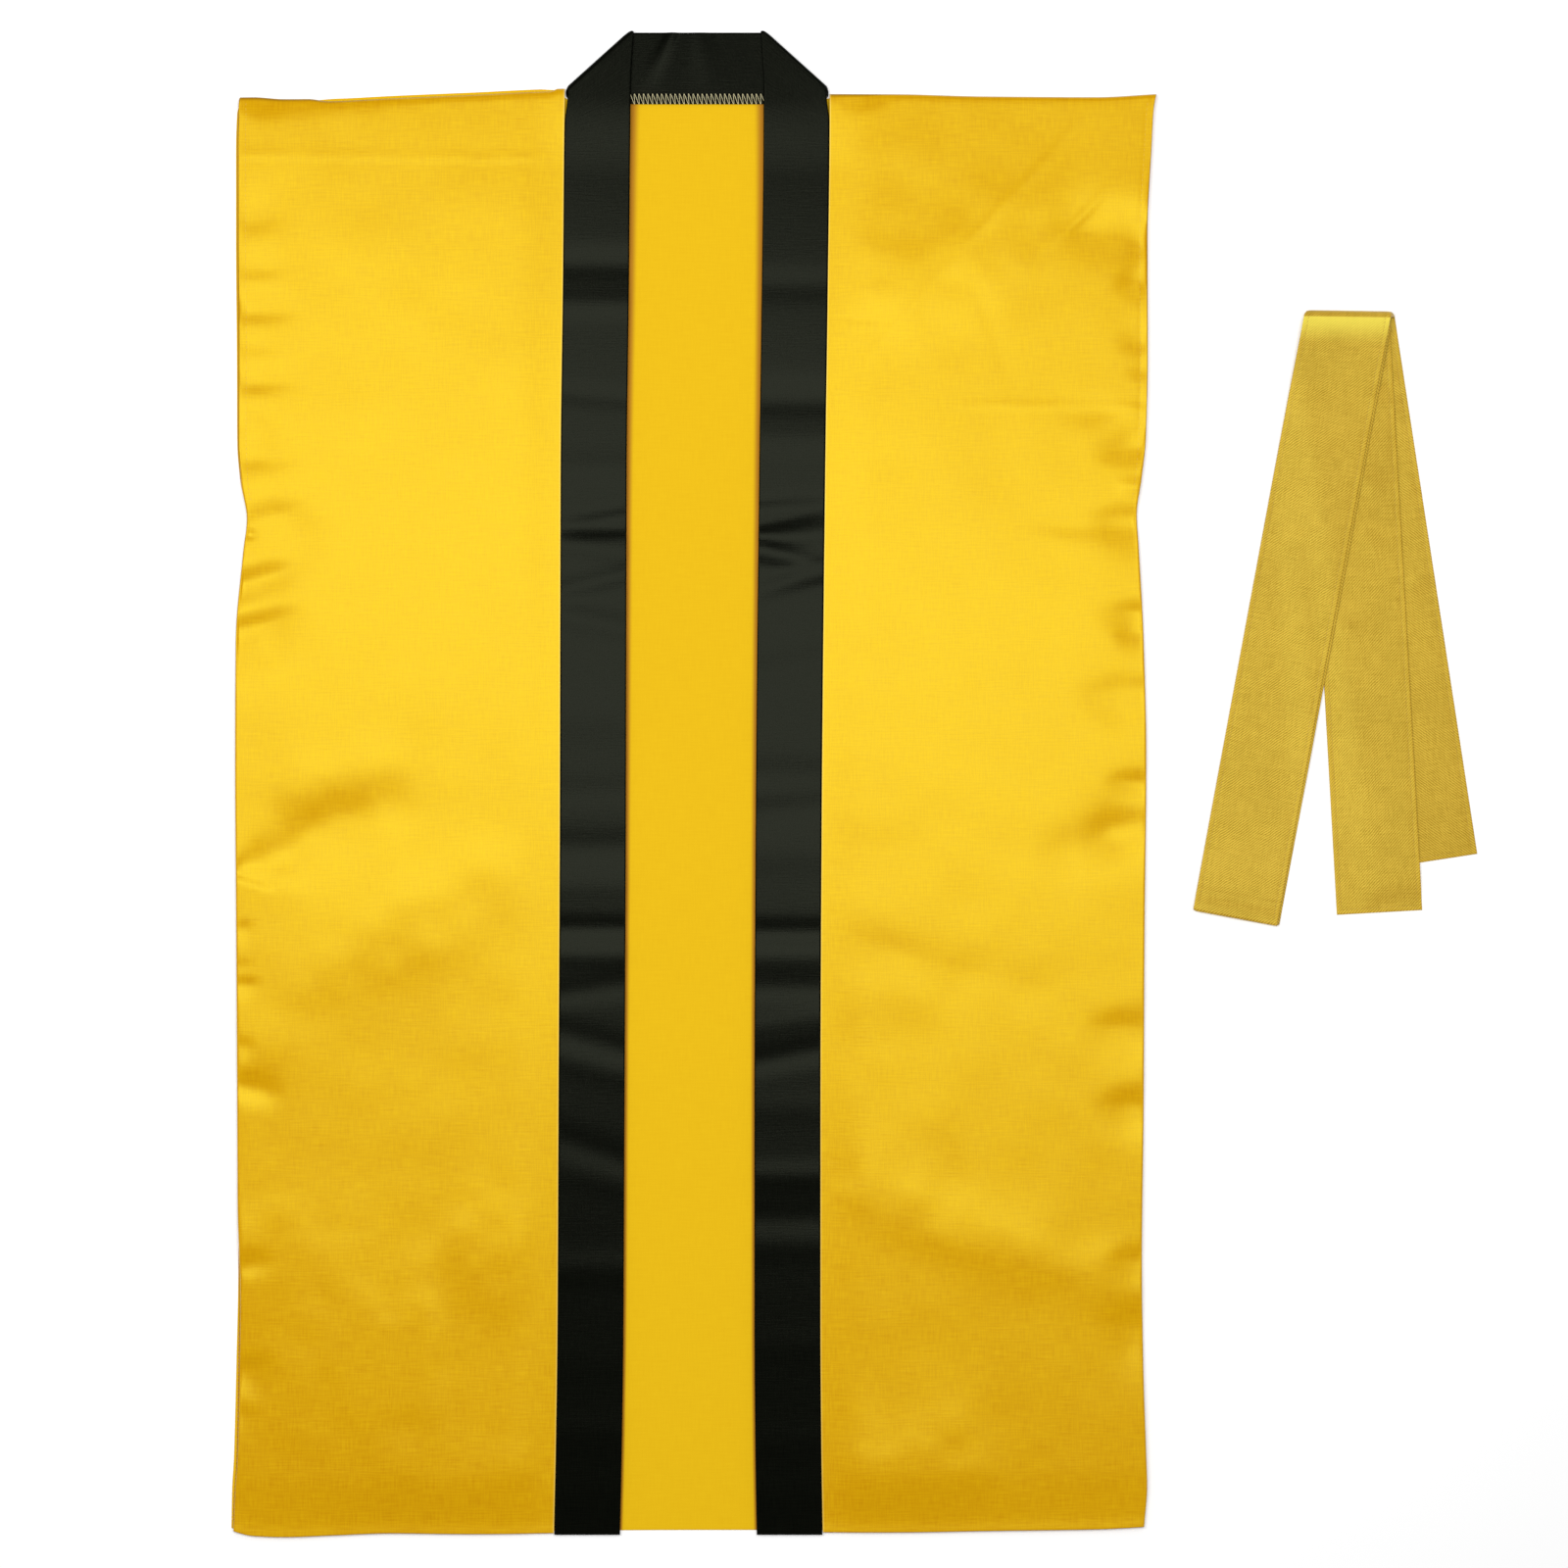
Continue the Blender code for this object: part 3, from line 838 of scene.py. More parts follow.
@dataclass(frozen=True)
class Finish:
    """A cloth's finish: its colours, sheen and weave, and the edge and band fades, which mostly paint shade
    and highlights.
    """

    name: str
    slot: Slot
    deep: Colour
    light: Colour
    edge: Fade
    sheen: Sheen
    weave_bump: float
    slub: float
    patches: float
    patch_strength: float
    band: Fade | None = None
    ribs: float = 0.0
    rib_pitch: float = 0.0015
    relief: float = 0.0002

    @cached_property
    def material(self) -> bpy.types.Material:
        """The finish as a material, made once.

        Returns:
            The material.
        """
        material, bench, shader = blank_material(self.name)
        cut, sheen = bench.add("ShaderNodeUVMap", uv_map="cut").outputs["UV"], self.sheen
        ground = bench.group(satin_ground(), {"Vector": cut, "Slub": self.slub})
        shade, height = self.weave(bench, cut, ground)
        # The edge fade and the band fade paint shade and highlights onto the dye's colour.
        colour = self.tinted(bench, bench.tint(shade, self.deep, self.light), "edge", self.edge)
        if self.band:
            colour = self.tinted(bench, colour, "band", self.band)
        least_rough = sheen.roughness - sheen.drift / 2.0
        bench.feed(shader, {
            "Base Color": colour,
            "Roughness": bench.math("MULTIPLY_ADD", ground["Shade"], sheen.drift, least_rough),
            "Normal": bench.bump(height, self.weave_bump, self.relief),
            "IOR": sheen.ior,
            "Specular IOR Level": sheen.specular,
            "Specular Tint": sheen.tint,
        })
        return material

    def weave(self, bench: Bench, cut: Socket, ground: bpy.types.NodeOutputs) -> tuple[Socket, Socket]:
        """Adds the dye's slow drift, and twill ribs where the cloth has them, to a ground.

        Args:
            bench: where to add the nodes.
            cut: socket of the place on the cut.
            ground: the ground's shade and height.

        Returns:
            Sockets of the whole shade and height.
        """
        tone = bench.group(broad_tone(), {"Vector": cut, "Patches": self.patches})["Tone"]
        shade = bench.math("ADD", ground["Shade"], bench.swing(tone, self.patch_strength))
        if not self.ribs:
            return shade, ground["Height"]
        rib = bench.group(twill_ribs(), {"Vector": cut, "Pitch": self.rib_pitch})["Rib"]
        ribbed = bench.math("ADD", shade, bench.swing(rib, self.ribs))
        return ribbed, bench.math("ADD", ground["Height"], rib)

    @staticmethod
    def tinted(bench: Bench, colour: Socket, attribute: str, fade: Fade) -> Socket:
        """A colour tinted near an edge, as the finishes paint shade and highlights there.

        Args:
            bench: where to add the nodes.
            colour: socket of the colour.
            attribute: the mesh's distance attribute.
            fade: the tint.

        Returns:
            Socket of the tinted colour.
        """
        distance = bench.add("ShaderNodeAttribute", attribute_name=attribute).outputs["Fac"]
        mask = bench.group(edge_mask(), {"Distance": distance, "Reach": fade.reach})["Mask"]
        return bench.tint(bench.math("MULTIPLY", mask, fade.strength), colour, fade.colour)


@dataclass(frozen=True)
class Thread:
    """A sewing thread's finish."""

    name: str
    slot: Slot
    colour: Colour
    roughness: float = 0.45
    metallic: float = 0.1
    strands: float = 3000.0
    variation: float = 0.35
    fibre_bump: float = 0.2
    relief: float = 0.0001

    @cached_property
    def material(self) -> bpy.types.Material:
        """The finish as a material, made once.

        Returns:
            The material.
        """
        material, bench, shader = blank_material(self.name)
        fibre = bench.noise(bench.add("ShaderNodeTexCoord").outputs["Object"], self.strands, detail=1.0)
        dark = tuple(c * (1.0 - self.variation) for c in self.colour[:3]) + (1.0,)
        bench.feed(shader, {
            "Base Color": bench.tint(fibre, dark, self.colour),
            "Normal": bench.bump(fibre, self.fibre_bump, self.relief),
            "Roughness": self.roughness,
            "Metallic": self.metallic,
        })
        return material


# Dark brown for the painted shade along the back's rims, and for the painted shadow beside the bands' inner
# edges and the fronts' side edges.
PAINTED_SHADE_BROWN = (0.42, 0.16, 0.012, 1.0)
# The face's edge fade paints a dark brown shade along the rolled shoulder, the side edges and the hem; its
# band fade paints a pale highlight along the seam beside each upright band.
FACE_SATIN = Finish(
    name="yellow_satin_face", slot=Slot.YELLOW, deep=(0.60, 0.26, 0.0001, 1.0),
    light=(0.74, 0.40, 0.0006, 1.0), edge=Fade((0.22, 0.08, 0.004, 1.0), 0.0014, 0.8),
    sheen=Sheen(roughness=0.33, drift=0.08, specular=0.52, ior=1.7, tint=(1.0, 1.0, 0.09, 1.0)),
    weave_bump=0.3, slub=2.2, patches=14.0, patch_strength=0.4,
    band=Fade((1.0, 0.72, 0.2, 1.0), 0.0012, 0.6),
)
# The inside's edge fade paints a faint brown shade along the back's rims; its band fade paints a brown shadow
# beside the bands' inner edges and beside the fronts' side edges.
INSIDE_SATIN = Finish(
    name="yellow_satin_inside", slot=Slot.INSIDE, deep=(0.77, 0.45, 0.004, 1.0),
    light=(0.86, 0.54, 0.008, 1.0), edge=Fade(PAINTED_SHADE_BROWN, 0.0012, 0.15),
    sheen=Sheen(roughness=0.6, drift=0.05, specular=0.05),
    weave_bump=0.15, slub=1.2, patches=8.0, patch_strength=0.2,
    band=Fade(PAINTED_SHADE_BROWN, 0.0055, 0.9),
)
# The black satin's edge fade paints a darker shade along the rims of the collar and the neck allowance.
BLACK_SATIN = Finish(
    name="black_satin", slot=Slot.BLACK, deep=(0.0004, 0.0005, 0.0003, 1.0),
    light=(0.0022, 0.0026, 0.0015, 1.0), edge=Fade((0.0002, 0.0002, 0.0002, 1.0), 0.0006, 0.5),
    sheen=Sheen(roughness=0.24, drift=0.06, specular=0.055, tint=(0.92, 1.0, 0.72, 1.0)),
    weave_bump=0.3, slub=2.0, patches=16.0, patch_strength=0.5,
)
# The belt's band fade paints a pale yellow highlight over the top fold, for about 19 mm past it.
BELT_TWILL = Finish(
    name="gold_belt_twill", slot=Slot.BELT, deep=(0.36, 0.20, 0.013, 1.0),
    light=(0.70, 0.445, 0.052, 1.0), edge=Fade((0.80, 0.44, 0.02, 1.0), 0.0034, 0.08),
    sheen=Sheen(roughness=0.3, drift=0.08, specular=0.3, ior=1.6, tint=(1.0, 1.0, 0.16, 1.0)),
    weave_bump=0.35, slub=1.6, patches=22.0, patch_strength=0.6,
    band=Fade((1.0, 0.86, 0.11, 1.0), 0.019, 0.62), ribs=0.9, rib_pitch=0.0019,
)
YELLOW_THREAD = Thread("yellow_thread", Slot.YELLOW, (0.95, 0.60, 0.08, 1.0))
ORANGE_THREAD = Thread("orange_thread", Slot.YELLOW, (0.92, 0.46, 0.14, 1.0))
GOLD_THREAD = Thread("gold_thread", Slot.BELT, (0.70, 0.45, 0.06, 1.0))
CREAM_THREAD = Thread("cream_thread", Slot.BLACK, (1.0, 0.90, 0.52, 1.0))


@dataclass(frozen=True)
class BackPanel:
    """The back, one panel flat on the floor with its inside up."""

    plan: CoatPlan = PLAN
    width: float = 575.0
    row_spacing: float = 6.0
    column_spacing: float = 8.0
    rim: Steps = (0.12, 0.3, 2.0)
    beside_band: Steps = (0.5, 1.1, 1.8, 2.7, 3.8, 5.2)
    middle: float = 0.4
    waves: float = 0.12
    wave_pitch: float = 55.0
    wave_layer: float = 0.7
    wave_lift: float = 0.6
    tuck: float = 1.5
    tuck_ease: float = 30.0
    side_short: float = 0.2
    hem_short: float = 1.2
    neck_ease: float = 4.0
    # These set how far the painted brown shadow beside the bands and beside the fronts' side edges reaches.
    shade_narrowing: float = 500.0
    full_shade: float = 1.2
    side_shade: float = 3.0
    cut_allowance: float = 12.0

    def height(self, x: float, down: float) -> float:
        """Height of the cloth's middle over the floor, in millimetres."""
        wave = noise.noise(Vector((x / self.wave_pitch, down / (2.0 * self.wave_pitch), self.wave_layer)))
        return self.middle + self.waves * (wave + self.wave_lift)

    def columns(self, level: float) -> list[float]:
        """Places across the back, finer at its edges and beside the bands.

        Args:
            level: place down the panel, 0 to its length.

        Returns:
            The places out from the centre line, in order.
        """
        plan, rim, shaded = self.plan, self.rim, self.beside_band
        under = self.width / 2.0 - plan.band_width
        gap = 2.0 * plan.band_width
        right, left = -plan.opening(Side.RIGHT, level), plan.opening(Side.LEFT, level)
        outer_right, outer_left = -self.outer(Side.RIGHT, level), self.outer(Side.LEFT, level)
        return [
            *spread(outer_right, right, stations(under, self.column_spacing, rim))[:-1],
            *spread(right, left, stations(gap, self.column_spacing, shaded, shaded)),
            *spread(left, outer_left, stations(under, self.column_spacing, (), rim))[1:],
        ]

    def build(self) -> Piece:
        """Makes and dresses the back.

        Returns:
            The piece.
        """
        shell = Shell("back_cloth", SATIN)
        for level in stations(self.plan.length, self.row_spacing, self.rim, self.rim):
            columns = self.columns(level)
            shell.add_row(self.place(x, level, min(x - columns[0], columns[-1] - x)) for x in columns)
        piece = shell.build(INSIDE_SATIN)
        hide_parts("back_panel")
        return piece

    def place(self, x: float, level: float, inset: float) -> Place:
        """A place of the back.

        Args:
            x: place out from the centre line.
            level: place down the panel, 0 to its length.
            inset: distance from the nearest side edge.

        Returns:
            The place.
        """
        plan = self.plan
        tucked = plan.shoulder.at(x) + self.tuck * (1.0 - plan.bared(x))
        top = tucked + (plan.back_neck - tucked) * smooth((plan.neck_half - abs(x)) / self.neck_ease)
        bottom = plan.hem.at(x) - self.hem_short
        down = top + (bottom - top) * level / plan.length
        side = Side.RIGHT if x < 0 else Side.LEFT
        # beside is the distance by which the inside finish paints a brown shadow beside the band's inner
        # edge, narrowing towards the hem, and beside the front's side edge.
        beside = abs(plan.opening(side, level) - abs(x)) * (1.0 + level / self.shade_narrowing)
        to_side = abs(plan.side_edge(side, down) - abs(x))
        beside = min(max(beside - self.full_shade, 0.0), self.side_shade * to_side)
        inset = min(inset, level, plan.length - level)
        return Place(plan.spot(x, down, self.height(x, down)), (x, down), inset, beside)

    def outer(self, side: Side, level: float) -> float:
        """Where the back's edge runs, tucked under a front where they are sewn.

        Args:
            side: the edge's side.
            level: place down the panel.

        Returns:
            Its distance from the centre line.
        """
        peek = self.plan.peeks[side].at(level)
        sewn = smooth((level - self.plan.armhole + self.tuck_ease) / self.tuck_ease) * (1.0 - smooth(peek))
        return self.plan.sides[side].at(level) - self.tuck * sewn - self.side_short

    def cut(self) -> tuple[float, float]:
        """Width and length of the cut, with its allowances, in metres."""
        return (self.width + 2.0 * self.cut_allowance) * MM, (self.plan.length + self.cut_allowance) * MM


RIGHT_CREASES = (
    crease((-288, 1, 6, -1.89), (-272, 3, 8, -1.76), (-250, 3, 7, -1.08), (-215, 2, 6, -0.54),
           (-150, -1, 5, 0)),
    crease((-284, 38.8, 4.5, 0.13), (-180, 40.2, 4.5, 0.1), (-81, 41.5, 4.5, 0.13), hemward=0.3),
    crease((-264, 456, 14, 0), (-240, 436, 20, 0.9), (-212, 427, 20, 0.9), (-170, 416, 16, 0)),
    *puckers(-290, (82, 26, 6, 0.55), (113, 28, 5, 0.63), (141, 34, 6, 1.09), (162, 26, 5, 0.63),
             (185, 34, 6, 1.09), (212, 24, 5, 0.63), (235, 34, 8, 1.27, -2)),
    pucker(-288, 271, 36, 8, 2.1, -14),
    crease((-290, 277, 2.4, -1.1), (-282, 278, 2.4, -0.9), (-272, 279, 2.4, 0)),
    crease((-272, 288, 12, 0), (-246, 284, 15, -0.94), (-220, 276, 12, 0)),
    crease((-290, 310, 9.5, -2.5), (-275, 307, 9.5, -2.4), (-238, 298, 7, 0), hemward=1.5),
    crease((-290, 342, 11, -3.0), (-277, 338, 11, -2.9), (-240, 326, 8, 0), hemward=2.0),
    crease((-284, 350, 3, 0), (-268, 372, 3.5, 0.12), (-280, 398, 3, 0)),
    crease((-290, 490, 4, -1.22), (-272, 482, 12, -2.3), (-250, 471, 18, -2.9), (-226, 461, 21, -2.5),
           (-198, 451, 20, -1.3), (-156, 430, 15, 0), hemward=1.1),
    crease((-290, 492, 2.2, -0.81), (-276, 496, 2.6, -0.54), (-258, 502, 3, 0)),
    crease((-300, 574, 22, 0), (-245, 556, 28, 0.9), (-180, 523, 32, 2.1), (-142, 502, 28, 1.0),
           (-85, 470, 22, 0), hemward=1.1),
    *puckers(-290, (525, 12, 3, 0.5), (548, 12, 2.6, 0.3), (560, 14, 2.8, 0.8), (598, 12, 3, 0.7)),
    crease((-292, 624, 6, -1.22), (-276, 626, 8, -1.49), (-254, 636, 7, 0), hemward=1.3),
    crease((-320, 600, 20, 0.9), (-280, 602, 22, 0.9), (-230, 600, 18, 0), hemward=1.2),
    crease((-300, 728, 36, 1.6), (-262, 730, 38, 1.5), (-230, 736, 34, 0.8), (-190, 744, 30, 0)),
    crease((-292, 742, 7, -1.6), (-279, 739, 8, -1.4), (-260, 735, 6, 0)),
    crease((-290, 800, 40, 0), (-240, 800, 56, 2), (-200, 800, 64, 3.1), (-174, 800, 64, 2.8),
           (-150, 802, 56, 0), hemward=1.2),
    crease((-172, 722, 36, 0), (-144, 728, 44, 1.5), (-120, 734, 44, 1.6), (-84, 740, 36, 0), hemward=0.8),
    *puckers(-292, (802, 24, 7, 2.6, -4), (831, 16, 5, 1.09)),
    crease((-218, 778, 2.6, 0), (-226, 794, 3.2, 0.41), (-235, 812, 2.6, 0)),
    crease((-290, 914, 12, 0), (-205, 908, 40, 0.9), (-140, 906, 64, 1.7), (-80, 904, 84, 2.4)),
    crease((-296, 800, 6, 0), (-295, 850, 9, -1.4), (-295, 914, 9, -2.2)),
    crease((-92, 452, 2, 0), (-84, 452, 1.8, -0.54), (-80, 452, 1.8, -0.54)),
    crease((-93, 459, 2, 0), (-84, 458, 1.8, -0.54), (-80, 458, 1.8, -0.54)),
    crease((-94, 475, 2, 0), (-85, 474, 1.8, -0.54), (-80, 474, 1.8, -0.54)),
    crease((-94, 522, 2.2, 0), (-84, 522, 2, -0.47), (-80, 522, 2, -0.47)),
)
LEFT_CREASES = (
    crease((82, 1, 5, -1.49), (104, 3, 5.5, -1.35), (132, 2, 4, 0)),
    crease((256, 2, 2.4, 0), (220, 44, 2.6, 0.4), (165, 103, 2.6, 0.6), (95, 186, 2.6, 0)),
    crease((268, 50, 2.4, 0), (245, 78, 2.4, 0.7), (214, 104, 2.4, 0)),
    crease((86, 42, 14, 0), (140, 42, 20, 0.45), (206, 34, 14, 0)),
    crease((80, 124, 36, 0.3), (138, 117, 44, 2.3), (186, 106, 42, 1.9), (236, 92, 32, 0), hemward=0.7),
    crease((160, 62, 14, 0), (214, 70, 24, 1.1), (290, 76, 24, 1.1), hemward=0.9),
    crease((212, 72, 22, 0), (258, 86, 24, -2.2), (290, 94, 20, -3.0), hemward=0.6),
    *puckers(290, (121, 20, 6, 1.64), (159, 18, 5, 1.27), (176, 14, 4, 0.91), (197, 12, 3, 0.46)),
    crease((224, 200, 7, 0), (256, 200, 9, -0.61), (276, 200, 7, 0)),
    crease((150, 195.5, 2.4, 0), (200, 196, 2.4, 0.15), (290, 197.5, 2.4, 0.18)),
    pucker(290, 224, 30, 6, 1.64, 6),
    crease((290, 248, 4, 0.54), (277, 248, 4.5, 0.47), (264, 246, 4, 0)),
    pucker(290, 264, 30, 7, 1.7),
    crease((200, 272, 6, 0), (245, 272, 9, -0.81), (290, 273, 7, -0.54), hemward=0.9),
    *puckers(290, (323, 28, 6, 1.64), (337, 20, 5, 1.09), (371, 38, 8, 1.6, 2), (430, 24, 6, 1.46)),
    crease((165, 90, 5, 0), (182, 133, 7, -0.12), (192, 160, 7, -0.12), (203, 206, 5, 0), hemward=0.5),
    crease((82, 140.5, 2, -0.32), (112, 142, 2, -0.24), (130, 143, 2, 0)),
    crease((212, 486, 12, 0), (240, 477, 15, -0.9), (264, 466, 15, -2.4), (292, 459, 10, -1.8), hemward=1.3),
    crease((60, 478, 16, -0.5), (112, 478, 18, -0.5), (170, 482, 16, 0), hemward=1.6),
    crease((82, 528, 14, 0), (122, 543, 15, -0.6), (160, 555, 15, -0.55), (200, 563, 14, -0.3),
           (246, 567, 12, 0), hemward=2.2),
    crease((60, 602, 24, -0.7), (120, 604, 26, -0.6), (190, 604, 20, 0), hemward=1.4),
    *puckers(290, (583, 36, 8, 1.6, 2), (634, 32, 8, 1.64)),
    crease((82, 682, 10, -0.94), (98, 683, 10, -0.41), (112, 684, 10, 0)),
    crease((140, 688, 18, 0), (160, 690, 22, -0.7), (182, 690, 18, 0), hemward=1.3),
    crease((60, 682, 12, 0), (112, 697, 24, 1), (162, 717, 28, 1.7), (210, 734, 28, 1.6), (252, 745, 26, 1.2),
           (292, 756, 20, 0.7), hemward=0.7),
    *puckers(290, (732, 24, 7, 1.46), (772, 30, 10, 1.82)),
    crease((60, 888, 36, 3.2), (120, 878, 38, 3), (156, 864, 36, 2.2), (206, 846, 28, 0), hemward=1.8),
    crease((94, 488, 2, 0), (86, 488, 1.8, -0.54), (80, 488, 1.8, -0.54)),
    crease((94, 519, 2, 0), (86, 519, 1.8, -0.54), (80, 519, 1.8, -0.54)),
    crease((94, 673, 2.2, 0), (85, 673, 2, -0.68), (80, 673, 2, -0.68)),
)


class Level(NamedTuple):
    """What a front shares along a row: its place, both edges, the band's loft and how open its side is."""

    down: float
    seam: float
    edge: float
    beside: float
    open_side: float


@dataclass(frozen=True)
class FrontPanel:
    """One front, from its band seam out to its side edge, with its armhole hem, rolls and creases."""

    side: Side
    creases: tuple[Crease, ...]
    plan: CoatPlan = PLAN
    width: float = 207.0
    row_spacing: float = 2.2
    column_spacing: float = 2.6
    over_back: float = 0.6
    loft: float = 3.2
    edge_loft: float = 3.0
    edge_ease: float = 40.0
    edge_fade: float = 3.0
    hem_strip_fade: float = 5.0
    most_loft: float = 5.5
    shoulder_roll: float = 4.0
    hem_roll: float = 40.0
    hem_turn: float = 7.5
    hem_rise: float = 0.35
    seam_blend: float = 30.0
    armhole_close: float = 40.0
    hem_loft: float = 1.7
    open_short: float = 11.0
    floor_middle: float = 0.3
    wrap_reach: float = 1.0
    shoulder_drop: float = 1.7
    loft_ease: float = 0.15
    most_ease: float = 0.3
    seam_loft: float = 0.5
    seam_gap: float = 0.15
    seam_turn: float = 0.8
    seam_sink: float = 0.2
    neck_corner: float = 8.0
    # How many times narrower the painted edge shade is along the side and along the hem.
    side_shade: float = 3.0
    hem_shade: float = 2.0
    stitch_inset: float = 4.5
    stitch_sink: float = 0.16
    stitch_reach: float = 0.8
    stitch_first: float = 5.0
    stitch_short: float = 8.0
    stitch_step: float = 0.8
    ripple: float = 0.24
    ripple_pitch: float = 30.0
    swell: float = 0.3
    swell_pitch: float = 85.0
    warp: float = 1.6
    warp_pitch: float = 24.0
    unevenness: float = 0.35
    uneven_shift: tuple[float, float, float] = (7.0, 3.0, 5.0)
    noise_apart: float = 40.0
    shoulder_rows: Steps = (0.12, 0.3, 0.6, 1.0, 1.5, 2.2, 3.2)
    hem_rows: Steps = (0.12, 0.3, 1.5)
    seam_columns: Steps = (0.12, 0.3, 0.6, 1.2, 2.2)
    side_columns: Steps = (0.12, 0.3, 0.6, 1.0, 1.5, 2.2, 3.6, 4.5, 5.4)
    cut_allowance: float = 12.0

    @property
    def name(self) -> str:
        """The front's CAD node."""
        return "right_front" if self.side is Side.RIGHT else "left_front"

    def folds(self, x: float, down: float) -> float:
        """Height that the creases, ripples and swells of loose cloth add.

        Args:
            x: place out from the centre line.
            down: place down from the shoulder line.

        Returns:
            The added height, in millimetres.
        """
        place = Vector((x, down, self.noise_apart * self.side.value))
        wander = noise.noise_vector(place / self.warp_pitch) * self.warp
        bent_x, bent_down = x + wander.x, down + wander.y
        uneven = 1.0 + self.unevenness * noise.noise(place / self.warp_pitch + Vector(self.uneven_shift))
        creased = sum(one.rise(bent_x, bent_down) for one in self.creases)
        ripple = self.ripple * noise.noise(place / self.ripple_pitch)
        return creased * uneven + ripple + self.swell * noise.noise(place / self.swell_pitch)

    def level(self, down: float) -> Level:
        """What a row shares.

        Args:
            down: place down from the shoulder line.

        Returns:
            The row's values.
        """
        plan = self.plan
        open_side = smooth((plan.armhole - self.open_short - down) / self.armhole_close)
        beside = plan.band_underside(down) + self.seam_loft - plan.body
        return Level(down, plan.seam(self.side, down), plan.side_edge(self.side, down), beside, open_side)

    def height(self, x: float, down: float, level: Level) -> float:
        """Height of the cloth's middle.

        Args:
            x: place out from the centre line.
            down: place down from the shoulder line.
            level: what its row shares.

        Returns:
            The height over the floor, in millimetres.
        """
        seam, edge = abs(x) - level.seam, level.edge - abs(x)
        shoulder, hem = down - self.top(x), self.plan.hem.at(x) - down
        loft = self.edge_loft + (self.loft - self.edge_loft) * smooth(edge / self.edge_ease)
        loft += self.folds(x, down) * roll(edge, self.edge_fade + self.hem_strip_fade * level.open_side)
        loft = softly_below(softly_above(loft, 0.0, self.loft_ease), self.most_loft, self.most_ease)
        loft = self.hem_loft + (loft - self.hem_loft) * smooth(hem / self.hem_roll)
        loft = level.beside + (loft - level.beside) * smooth(seam / self.seam_blend)
        loft = loft * roll(shoulder, self.shoulder_roll) + self.hem_rise * smooth(1.0 - hem / self.hem_turn)
        middle = self.plan.body + max(loft, 0.0) + self.over_back
        middle -= self.seam_sink * (1.0 - roll(seam, self.seam_turn))
        middle -= self.stitch_sink * level.open_side * bell(edge - self.stitch_inset, self.stitch_reach)
        at_side = (1.0 - level.open_side) * (1.0 - roll(edge, self.wrap_reach))
        wrap = max(at_side, 1.0 - roll(shoulder, self.wrap_reach))
        return middle + (self.floor_middle - middle) * wrap

    def top(self, x: float) -> float:
        """Where the front's shoulder roll lies, a little below the back's where that is bared."""
        return self.plan.shoulder.at(x) + self.shoulder_drop * self.plan.bared(x)

    def build(self) -> Piece:
        """Makes and dresses the front.

        Returns:
            The piece.
        """
        shell = Shell(self.name.replace("front", "front_cloth"), SATIN)
        for down in stations(self.plan.length, self.row_spacing, self.shoulder_rows, self.hem_rows):
            shell.add_row(self.row(down))
        piece = shell.build(FACE_SATIN)
        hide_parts(self.name)
        return piece

    def row(self, down: float) -> Iterable[Place]:
        """A row of the front, from the band seam outwards.

        Args:
            down: place down the panel, 0 to its length.

        Yields:
            Each place.
        """
        plan, level, length = self.plan, self.level(down), self.plan.length
        inner = plan.seam(self.side, max(down, self.neck_corner)) + self.seam_gap
        for out in stations(self.width, self.column_spacing, self.seam_columns, self.side_columns):
            x = self.side.value * (inner + (level.edge - inner) * out / self.width)
            top, bottom = self.top(x), plan.hem.at(x)
            here = top + (bottom - top) * down / length
            side, hem = self.width - out, length - down
            # tint goes to the edge attribute, by which the face finish paints a dark brown shade along the
            # rolled shoulder, the side edge and the hem; out goes to the band attribute, by which it paints a
            # pale highlight along the band seam.
            shoulder_shade = plan.shoulder_shades[self.side].at(abs(x)) * down
            tint = min(self.side_shade * side, self.hem_shade * hem, shoulder_shade)
            point = plan.spot(x, here, self.height(x, here, level))
            yield Place(point, (x, here), min(side, down, hem), out, tint)

    def armhole_stitches(self) -> Piece:
        """Makes the topstitching of the armhole's narrow hem.

        Returns:
            The piece.
        """
        path = []
        for down in paces(self.stitch_first, self.plan.armhole - self.stitch_short, self.stitch_step):
            level = self.level(down)
            x = self.side.value * (level.edge - self.stitch_inset)
            path.append(self.plan.spot(x, down, self.height(x, down, level) + SATIN.thickness / 2.0))
        return StitchRow(f"{self.name}_armhole_stitches", YELLOW_THREAD).build([path])

    def cut(self) -> tuple[float, float]:
        """Width and length of the cut, with its allowances, in metres."""
        return (self.width + self.cut_allowance) * MM, (self.plan.length + self.cut_allowance) * MM


